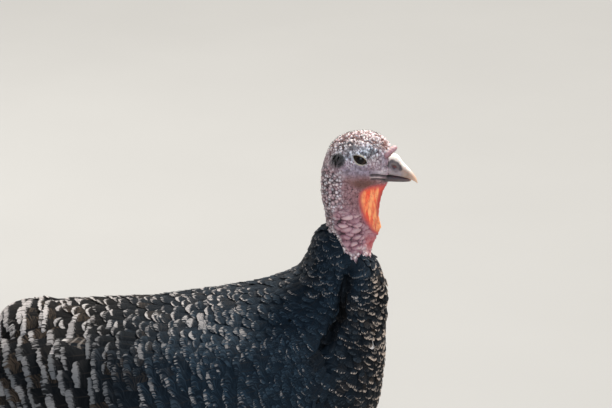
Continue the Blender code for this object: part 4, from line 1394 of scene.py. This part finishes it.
def at_wing(place, side):
    """Where the body's places lie on the folded wing: along it, and across it from its top."""
    along = (WING_FRONT - 1 - place) / WING_FRONT
    edges = share_of(WING_EDGES, np.clip(along, 0, 1))
    return along, (side - edges[..., 0]) / (edges[..., 1] - edges[..., 0])


def body_point(place, turn, lift):
    """The trunk and neck, with the fold between breast and shoulder and the bulge of the wings."""
    skin = loft(BODY, place, turn)
    side = np.abs((turn + 180) % 360 - 180)
    along, across = at_wing(place, side)
    bulge = wing_depth(np.clip(along, 0, 1), np.clip(across, 0.05, 0.6)) * ramp(-0.22, 0.12, across)
    bulge = bulge * ramp(-0.02, 0.10, along) * ramp(0.75, 0.55, along) * ramp(1.12, 0.9, across)
    return skin + loft_normal(BODY, place, turn) * (lift + bulge - crease_depth(skin, side))[..., None]


BODY_FIELD = Field(body_point, (0, 24), (-180, 180), -1)


def scatter(field, span_a, span_b, spacing, tries, seed):
    """Roots spread evenly over part of a field, no two nearer than the spacing at that place."""
    draw = np.random.default_rng(seed)
    a = draw.uniform(*span_a, tries)
    b = draw.uniform(*span_b, tries)
    to_a, to_b, _ = field.slopes(a, b)
    area = np.linalg.norm(np.cross(to_a, to_b), axis=-1)
    gaps = spacing(a, b)
    chosen = draw.random(tries) < area / gaps ** 2 / np.max(area / gaps ** 2)
    a, b, gaps = a[chosen], b[chosen], gaps[chosen]
    points = field.point(a, b, np.zeros_like(a))
    cell = gaps.max()
    homes = np.floor(points / cell).astype(int)
    held = {}
    kept = []
    for index, (home, point, gap) in enumerate(zip(homes, points, gaps)):
        near = []
        for offset in itertools.product((-1, 0, 1), repeat=3):
            near += held.get((home[0] + offset[0], home[1] + offset[1], home[2] + offset[2]), [])
        if near and np.min(np.sum((points[near] - point) ** 2, axis=1)) < gap ** 2:
            continue
        held.setdefault(tuple(home), []).append(index)
        kept.append(index)
    return a[kept], b[kept]


# How far a point of the near side is drawn down in the photo's view for each millimetre it is out.
VIEW_SHIFT = 0.325
# The breast's one white feather, in the photo's view, and how near to it a feather has to be.
LONE_WHITE = (300.5, 394.0)
LONE_REACH = 6
# Above this line of the photo's view the sun makes the black look brown.
SADDLE_LINE = np.array([(-200, 330), (-60, 392), (20, 396), (120, 412), (240, 450)])
# How wide the painted shade of the fold by the shoulder is.
CREASE_SHADE = 4.6


def flecked_band(x, level, rear, upper, luck, draw):
    """How long the white ends of the back are: bands at the rear, chance flecks before them."""
    count = len(x)
    band = rear * draw.uniform(0.100, 0.145, count) + 0.02 * ramp(45, 0, x) + 0.07 * ramp(-45, -72, x)
    share = 0.18 + 0.55 * ramp(250, 140, x) + 0.14 * ramp(400, 365, level) * ramp(235, 190, x)
    share += 0.95 * hump(x, 130, 62) * ramp(374, 396, level)
    flecked = (luck < share) & (rear < 0.7)
    fleck = lerp(0.045, 0.17, draw.random(count) ** 1.5) * lerp(0.6, 1.0, ramp(240, 190, x))
    band = np.where(flecked, np.maximum(band, fleck * (1 + 0.18 * upper)), band)
    return np.where(~flecked & (rear < 0.45), 0.0, band)


def tone_and_fold_shade(points, level, sunny, breast, luck):
    """How brown and dark the black is, and how far each feather lies in the fold by the shoulder. The brown
    of the sunny back is painted sunlight, the darker black of the shaded rear side and of the fold is
    painted shade; it also grows low down, on and in front of the breast, and by chance.
    """
    x, _, z = points.T
    fold = hump(line_distance(x, z, CREASE), 0, CREASE_SHADE) * lerp(0.25, 1, ramp(390, 402, z))
    tone = lerp(0.34 * ramp(275, 220, x) * sunny, lerp(0.82, 0.95, sunny), ramp(150, 10, x))
    tone += 0.35 * ramp(300, 250, z) + 0.45 * breast + 0.6 * fold + 0.12 * luck
    tone += 0.2 * ramp(285, 312, x) * ramp(500, 470, level)
    return np.clip(tone, 0, 1), fold


def markings(points, draw):
    """How white, broken and brown the feathers are, and the sun and shade painted on them, from where they
    lie in the side view.
    """
    x, y, z = points.T
    level = z - VIEW_SHIFT * np.abs(y)
    count = len(x)
    luck = draw.random(count)
    rear = ramp(175, 35, x)
    upper = hump(x, 125, 50) * ramp(380, 402, level)
    tuft = hump(x, 136, 12) * hump(level, 413, 9)
    band = flecked_band(x, level, rear, upper, luck, draw)
    broken = lerp(0.57, 0.42, ramp(110, 0, x)) - 0.08 * upper + draw.uniform(-0.09, 0.06, count)
    breast = np.maximum(ramp(250, 285, x) * ramp(470, 425, level),
                        ramp(288, 302, x) * ramp(492, 472, level))
    edged = draw.random(count) < 0.44 + 0.40 * ramp(280, 308, x)
    edge = draw.uniform(0.02, 0.12, count) + 0.06 * ramp(292, 312, x)
    band = np.where(breast > 0.3, np.where(edged, edge, 0.0), band)
    broken = np.where(breast > 0.3, draw.uniform(0.46, 0.60, count) - 0.05 * ramp(292, 312, x), broken)
    neck = ramp(436, 462, level) * ramp(205, 235, x) * (breast < 0.3)
    dotted = draw.random(count) < 0.75
    band = np.where(neck > 0.5, np.where(dotted, 0.075, 0.0), band)
    broken = np.where(neck > 0.5, 0.54, broken)
    broken = broken + rear * draw.uniform(-0.08, 0.08, count) - 0.10 * tuft
    band = np.maximum(band, 0.30 * ramp(0.2, 0.5, tuft)) * draw.uniform(0.75, 1.1, count)
    brown = np.clip(0.25 - 0.3 * tuft - 0.2 * upper + 0.6 * breast + 0.25 * neck - 0.35 * rear, 0, 1)
    away = np.hypot(x - LONE_WHITE[0], level - LONE_WHITE[1]) + 99 * (y > 0)
    lone = (away == away.min()) & (away < LONE_REACH)
    band, broken, brown = np.where(lone, np.array([[0.66], [0.05], [0.0]]), (band, broken, brown))
    # Painted sunlight: above the saddle line the black turns browner.
    sunny = ramp(-20, 25, level - np.interp(x, *SADDLE_LINE.T))
    tone, fold = tone_and_fold_shade(points, level, sunny, breast, luck)
    # Painted shade: out of the sun the white ends are dimmed; on the neck and at the far rear they are
    # duller.
    dull = (1 - sunny) * ramp(262, 225, x) * draw.uniform(0.45, 0.85, count) + 0.25 * neck
    dull += 0.24 * rear * ramp(-75, -45, x)
    # No white in the fold by the shoulder, which is painted as shade.
    return {"band": band * (1 - fold), "broken": broken, "brown": brown, "dull": dull, "tone": tone}


def covering(field, a, b, spacing, draw, longer=2.9, wider=2.0, low=-3.0, high=0.1, vary=0.10):
    """Roots of body feathers: a and b with their sizes, lifts and markings."""
    points = field.point(a, b, np.zeros_like(a))
    count = len(a)
    return dict(
        markings(points, draw), a=a, b=b, low=low, high=high, camber=1.3,
        length=spacing * longer * draw.uniform(1 - vary, 1 + vary, count),
        width=spacing * wider * draw.uniform(1 - vary, 1 + vary, count),
        yaw=draw.normal(0, vary, count), tilt=draw.uniform(-0.3, 0.3, count),
        round=lerp(0.17, 0.10, ramp(250, 285, points[:, 0])),
    )


def coat(name, field, roots, finish, *nodes, **grid):
    piece(name, grow(name, field, roots, **grid), finish, "plumage", *nodes)


BODY_SPACING = np.array([
    (0, 9.6), (3.5, 9.2), (5.5, 7.6), (7.5, 6.6), (9.5, 5.8), (11, 4.8), (12.2, 4.1), (13.2, 3.5),
])
# The share of the wing's breadth under which no feathers of the body are needed.
UNDER_WING = (0.30, 0.86)
# Up to this turn from the middle line the feathers are the back's.
BACK_TURN = 78
# How far past the edge of the bare skin feathers have their roots.
NECK_OVERLAP = 0.12


def body_spacing(place, turn):
    return np.interp(place, *BODY_SPACING.T)


def make_body_coat(finish):
    """The feathers of the breast, belly and back, and the small ones of the neck."""
    draw = np.random.default_rng(4)
    place, turn = scatter(BODY_FIELD, (0.15, 9.9), (-180, 180), body_spacing, tries=80000, seed=5)
    along, across = at_wing(place, np.abs(turn))
    hidden = (across > UNDER_WING[0]) & (across < UNDER_WING[1]) & (along > 0.10)
    place, turn = place[~hidden], turn[~hidden]
    spacing = body_spacing(place, turn)
    upper = np.abs(turn) < BACK_TURN
    for name, part in (("coat_back", upper), ("coat_breast", ~upper)):
        roots = covering(BODY_FIELD, place[part], turn[part], spacing[part], draw, vary=0.17)
        coat(name, BODY_FIELD, roots, finish, rows=6, columns=8, seed=6)
    reach = (9.5, BARE_EDGE + NECK_OVERLAP)
    place, turn = scatter(BODY_FIELD, reach, (-180, 180), body_spacing, tries=40000, seed=7)
    part = place < bare_edge(turn) + NECK_OVERLAP
    place, turn = place[part], turn[part]
    roots = covering(BODY_FIELD, place, turn, body_spacing(place, turn), draw, longer=3.0, wider=1.9)
    bare = ramp(-1.0, 0.0, place - bare_edge(turn))
    high = lerp(0.6, 0.9, bare) + draw.random(len(place)) ** 6 * 2.5
    roots.update(low=lerp(-3.0, -0.6, bare), high=high, camber=0.5)
    coat("coat_neck", BODY_FIELD, roots, finish, rows=6, columns=7, seed=8)


def lay_rows(start, end, length, gap_at, breadth_at, closeness, fewest, first):
    """Rows of roots over a field, every second one half a step on.

    Gives the place along and across, the gap to the next row, and how broad the row is.
    """
    rows = []
    line = start
    index = 0
    while line < end:
        gap = float(gap_at(line))
        breadth = float(breadth_at(line))
        number = max(round(breadth / (gap * closeness)), fewest)
        for step in range(first, number + 1):
            here = (step + 0.5 * (index % 2)) / number
            if -0.2 <= here <= 1.02:
                rows.append((line, here, gap, breadth))
        line += gap / length
        index += 1
    return np.array(rows).T


def wing_rows(draw):
    """Rows of covert feathers, small at the wrist and broad behind, that lean forward below.

    Gives their places, the gap to the next row, and how far each turns down to square its row.
    """
    def gap(line):
        return lerp(5.0, 16.5, ramp(0.02, 0.60, line))

    def breadth(line):
        top, bottom = share_of(WING_EDGES, np.array([line]))[0]
        return (bottom - top) * WING_DEGREE

    along, across, gaps, breadths = lay_rows(0.04, 0.80, WING_LENGTH, gap, breadth,
                                             closeness=1.05, fewest=3, first=-1)
    swing = WING_LEAN * ramp(0.1, 0.45, along)
    low = np.maximum(across, 0.0)
    turns = np.arctan(1.6 * swing * low ** 0.6 / breadths)
    along = along - swing * (low ** 1.6 - 0.2) / WING_LENGTH
    loose = ramp(0.45, 0.15, along)
    along = along + draw.normal(0, 1, len(along)) * lerp(0.0055, 0.010, loose)
    across = across + draw.normal(0, 1, len(along)) * lerp(0.013, 0.030, loose)
    return along, across, gaps, turns


# Secondaries, then primaries: how many, and their first and last values.
FLIGHT_NUMBERS = (14, 9)
FLIGHT = {
    "a": ((0.36, 0.52), (0.56, 0.56)),
    "b": ((0.10, 0.88), (0.62, 0.92)),
    "length": ((150.0, 165.0), (186.0, 150.0)),
    "width": ((34.0, 34.0), (26.0, 26.0)),
    "high": ((-0.6, -1.6), (-1.4, -2.2)),
    "yaw": ((0.02, -0.16), (-0.10, -0.20)),
}


def flight_roots(draw, side):
    """The long vanes that fan from under the coverts."""
    roots = {key: np.concatenate([np.linspace(*ends, number) for ends, number in zip(pair, FLIGHT_NUMBERS)])
             for key, pair in FLIGHT.items()}
    roots["yaw"] *= side
    return dict(roots, low=-5.0, band=draw.uniform(0.030, 0.045, sum(FLIGHT_NUMBERS)), broken=0.34,
                bars=0.55, tone=0.7, round=0.07, ragged=0.012, camber=0.8)


def make_wing(label, side, finish):
    def point(along, across, lift):
        return wing_point(along, across, lift + wing_depth(along, across)) * (1, side, 1)

    field = Field(point, (-0.05, 1.1), (-0.2, 1.2), 1)
    draw = np.random.default_rng(40 + side)
    along, across, gaps, turns = wing_rows(draw)
    rear = ramp(0.15, 0.45, along)
    top_edge = ramp(0.16, -0.05, across)
    roots = covering(field, along, across, gaps, draw, longer=2.8, wider=2.2, vary=lerp(0.10, 0.05, rear))
    roots.update(
        yaw=draw.normal(0, 0.03, len(along)) - side * turns,
        low=lerp(-1.6, -3.4, rear) - 1.5 * top_edge, high=lerp(0.3, 1.0, rear) - 3.0 * top_edge,
        round=lerp(0.20, 0.055, rear), bow=lerp(0.06, 0.02, rear), ragged=lerp(0.015, 0.045, rear),
    )
    coverts = grow("coverts", field, roots, rows=7, columns=15, seed=42)
    quills = grow("quills", field, flight_roots(draw, side), rows=26, columns=11, seed=43)
    piece("coat_wing_" + label, joined([coverts, quills]), finish, "plumage", "wing_" + label)


def cover_turn(along):
    """How far down each side the rump's feathers reach."""
    return lerp(*COVER_TURNS, ramp(0.15, 0.7, along))


def cover_point(along, across, lift):
    depth = share_of(COVER_DEPTH, np.clip(along, 0, 1))
    depth = lerp(1.5, depth, np.sqrt(np.sin(np.pi * np.clip(across, 0.0, 1.0))))
    place = (len(COVER) - 1) * (1 - along)
    return raised(COVER, place, cover_turn(along) * (2 * across - 1), lift + depth)


def make_rump(finish):
    """Rows of broad white-tipped feathers from the back to over the root of the tail."""
    def gap(line):
        return lerp(13.0, 19.0, line)

    def breadth(line):
        half = np.interp(line, [0, 0.35, 0.7, 1], [84, 60, 54, 60])
        return 2 * half * math.sin(math.radians(min(cover_turn(line) + 14, 80)))

    field = Field(cover_point, (-0.1, 1.1), (-0.2, 1.2), 1)
    draw = np.random.default_rng(60)
    along, across, gaps, _ = lay_rows(0.10, 0.86, COVER_LENGTH, gap, breadth,
                                      closeness=0.85, fewest=4, first=0)
    along = along + draw.normal(0, 0.010, len(along))
    across = across + draw.normal(0, 0.016, len(along))
    roots = covering(field, along, across, gaps, draw, longer=2.7, wider=2.2, vary=0.04)
    front = ramp(0.12, 0.26, along)
    last = ramp(0.60, 0.84, along)
    roots.update(low=lerp(-13.0, -4.0, front) - 2.5 * last, high=lerp(-1.5, 1.0, front) - 8.0 * last,
                 ragged=0.045, round=0.07, bow=0.02)
    coat("coat_rump", field, roots, finish, "tail_coverts", rows=8, columns=17, seed=61)


def tail_point(out, across, lift):
    """A point of the tail: millimetres out from its root, across to the left and up."""
    droop = math.radians(TAIL_DROOP)
    backward = np.array((-math.cos(droop), 0, -math.sin(droop)))
    up = np.array((-math.sin(droop), 0, math.cos(droop)))
    sag = TAIL_SAG * (out / TAIL_LENGTH) ** 2
    height = lift - sag - TAIL_ROOF * (np.sqrt(across ** 2 + 9.0) - 3.0)
    points = TAIL_ROOT + out[..., None] * backward + height[..., None] * up
    points[..., 1] = across
    return points


def make_tail(finish):
    """Eighteen long vanes in a closed, drooping fan, the middle pair on top."""
    field = Field(tail_point, (-10, 300), (-80, 80), 1)
    draw = np.random.default_rng(70)
    pairs = np.repeat(np.arange(TAIL_PAIRS), 2)
    sides = np.tile(np.array([-1, 1]), TAIL_PAIRS)
    length = TAIL_LENGTH * (1 - TAIL_ROUNDING * (pairs / (TAIL_PAIRS - 1)) ** 2)
    lift = -0.4 - TAIL_LAYER * (pairs + 0.5 * (sides > 0))
    lean = np.arctan2(sides * pairs * (TAIL_TIP_STEP - TAIL_ROOT_STEP), length)
    roots = dict(
        a=np.full(len(pairs), 4.0), b=sides * TAIL_ROOT_STEP * pairs, length=length - 5.0, width=46.0,
        low=lift, high=lift, yaw=-lean, band=draw.uniform(0.045, 0.055, len(pairs)), broken=0.30,
        bars=0.28, tone=0.8, round=0.10, ragged=0.008, camber=0.5,
    )
    coat("coat_tail", field, roots, finish, "tail", rows=48, columns=15, seed=71)


def make_thigh_coat(label, side, finish):
    def point(along, angle, lift):
        return tube(thigh_line(side), THIGH_RADII, along, angle, lift)

    def spacing(along, angle):
        return lerp(8.5, 5.0, along)

    field = Field(point, (0, 1.1), (-180, 180), 1)
    draw = np.random.default_rng(80 + side)
    along, angle = scatter(field, (0.02, 0.93), (-180, 180), spacing, tries=9000, seed=81)
    roots = covering(field, along, angle, spacing(along, angle), draw, longer=3.0, high=0.5)
    roots["bars"] = 0.25
    coat("coat_thigh_" + label, field, roots, finish, rows=6, columns=7, seed=82)


HEAD_FIELD = Field(functools.partial(raised, BODY), (0, 24), (-180, 180), -1)


def make_bristles(finish):
    """Short dark bristles: many on the crown, fewer down the nape, none round the eyes."""
    draw = np.random.default_rng(90)

    def spacing(place, turn):
        sparse = lerp(2.1, 4.2, ramp(60, 130, np.abs(turn)))
        return lerp(4.2, sparse, ramp(17.0, 18.5, place))

    place, turn = scatter(HEAD_FIELD, (13.4, 23.2), (-140, 140), spacing, tries=16000, seed=91)
    x, _, z = HEAD_FIELD.point(place, turn, np.zeros_like(place)).T
    clear = ((eye_oval(x, z) > 1.9) | (np.abs(turn) < 40)) & (x < 314)
    place, turn = place[clear], turn[clear]
    crown = ramp(80, 40, np.abs(turn)) * ramp(17, 18.5, place)
    count = len(place)
    roots = dict(
        a=place, b=turn, length=lerp(2.2, 4.2, crown) * draw.uniform(0.6, 1.2, count),
        width=lerp(0.30, 0.46, crown), low=lerp(-0.3, -1.5, crown),
        high=lerp(0.9, 0.5, crown) * draw.uniform(0.6, 1.2, count),
        yaw=draw.normal(0, 0.5, count), camber=0.0, broken=0.9, tone=0.6, ragged=0.0,
    )
    coat("bristles", HEAD_FIELD, roots, finish, rows=4, columns=3, seed=92)


def ear_roots(draw, side):
    """Places of the ear's soft feathers, found on the head by the side view."""
    place = draw.uniform(17.4, 20.0, 9000)
    turn = side * draw.uniform(40, 130, 9000)
    points = HEAD_FIELD.point(place, turn, np.zeros_like(place))
    inside = np.flatnonzero(ear_oval(points) < 0.95)[:26]
    return place[inside], turn[inside]


def make_ear_tufts(finish):
    draw = np.random.default_rng(95)
    place, turn = np.hstack([ear_roots(draw, side) for side in SIDES.values()])
    count = len(place)
    roots = dict(
        a=place, b=turn, length=draw.uniform(3.0, 5.0, count), width=1.0, low=-2.0,
        high=draw.uniform(-1.5, -0.3, count), yaw=draw.normal(0, 0.25, count), camber=0.0,
        broken=0.9, bars=0.5, tone=1.0, ragged=0.0,
    )
    coat("ear_tufts", HEAD_FIELD, roots, finish, rows=5, columns=3, seed=96)


# Floor, light and camera.

TARGET = Vector((0.2324, 0.0, 0.5397))
CAMERA_RISE = 18
CAMERA_DISTANCE = 3.0
LENS = 168.0
FLOOR_WIDTH = 80000.0


def make_stage():
    mesh, u, v = sheet(columns=1, rows=1)
    mesh.name = "floor"
    bend(mesh, np.stack([u - 0.5, v - 0.5, 0 * u], -1) * FLOOR_WIDTH)
    finish = Finish("floor", Roughness=0.85, Specular_IOR_Level=0.2)
    finish.feed(Base_Color=finish.mix((0.33, 0.33, 0.327), (0.35, 0.35, 0.347), finish.noise(3.0)))
    mesh.materials.append(finish.material)
    shown("floor", mesh)


def aimed(name, data, place, way):
    """Put a light or the camera at a place, looking the given way."""
    made = shown(name, data)
    made.location = place
    made.rotation_euler = way.to_track_quat("-Z", "Y").to_euler()
    return made


def light(name, kind, place, aim, **settings):
    data = bpy.data.lights.new(name, kind)
    for key, value in settings.items():
        setattr(data, key, value)
    aimed(name, data, place, Vector(aim) - Vector(place))


def make_lights():
    """A warm high sun, a cool soft light from the camera's side and a rim light from behind."""
    world = bpy.data.worlds.new("studio")
    world.use_nodes = True
    background = world.node_tree.nodes["Background"]
    background.inputs["Color"].default_value = (0.86, 0.92, 1.0, 1.0)
    background.inputs["Strength"].default_value = 0.36
    bpy.context.scene.world = world
    bpy.context.scene.view_settings.view_transform = "Standard"
    light("key", "SUN", (1.8, 1.7, 4.1), (0, 0, 0), energy=5.7, angle=0.2, color=(1.0, 0.94, 0.85))
    light("fill", "AREA", (0.9, -2.6, 1.5), (0.2, 0, 0.45),
          shape="SQUARE", size=1.6, energy=38, color=(0.80, 0.91, 1.0))
    light("rim", "AREA", (-1.0, 2.0, 1.7), (0.1, 0, 0.45),
          shape="SQUARE", size=1.0, energy=24, color=(1.0, 0.97, 0.92))


def make_camera():
    rise = math.radians(CAMERA_RISE)
    data = bpy.data.cameras.new("camera")
    data.lens = LENS
    data.sensor_width = 36.0
    offset = Vector((0, -math.cos(rise), math.sin(rise))) * CAMERA_DISTANCE
    bpy.context.scene.camera = aimed("camera", data, TARGET + offset, -offset)


def main():
    make_stage()
    make_lights()
    make_camera()
    make_skin()
    eye = eye_finish()
    for label, side in SIDES.items():
        make_eye(label, side, eye)
    make_bill()
    make_legs()
    plumage = plumage_finish()
    make_body_coat(plumage)
    for label, side in SIDES.items():
        make_wing(label, side, plumage)
        make_thigh_coat(label, side, plumage)
    make_rump(plumage)
    make_tail(plumage)
    make_bristles(plumage)
    make_ear_tufts(plumage)


main()
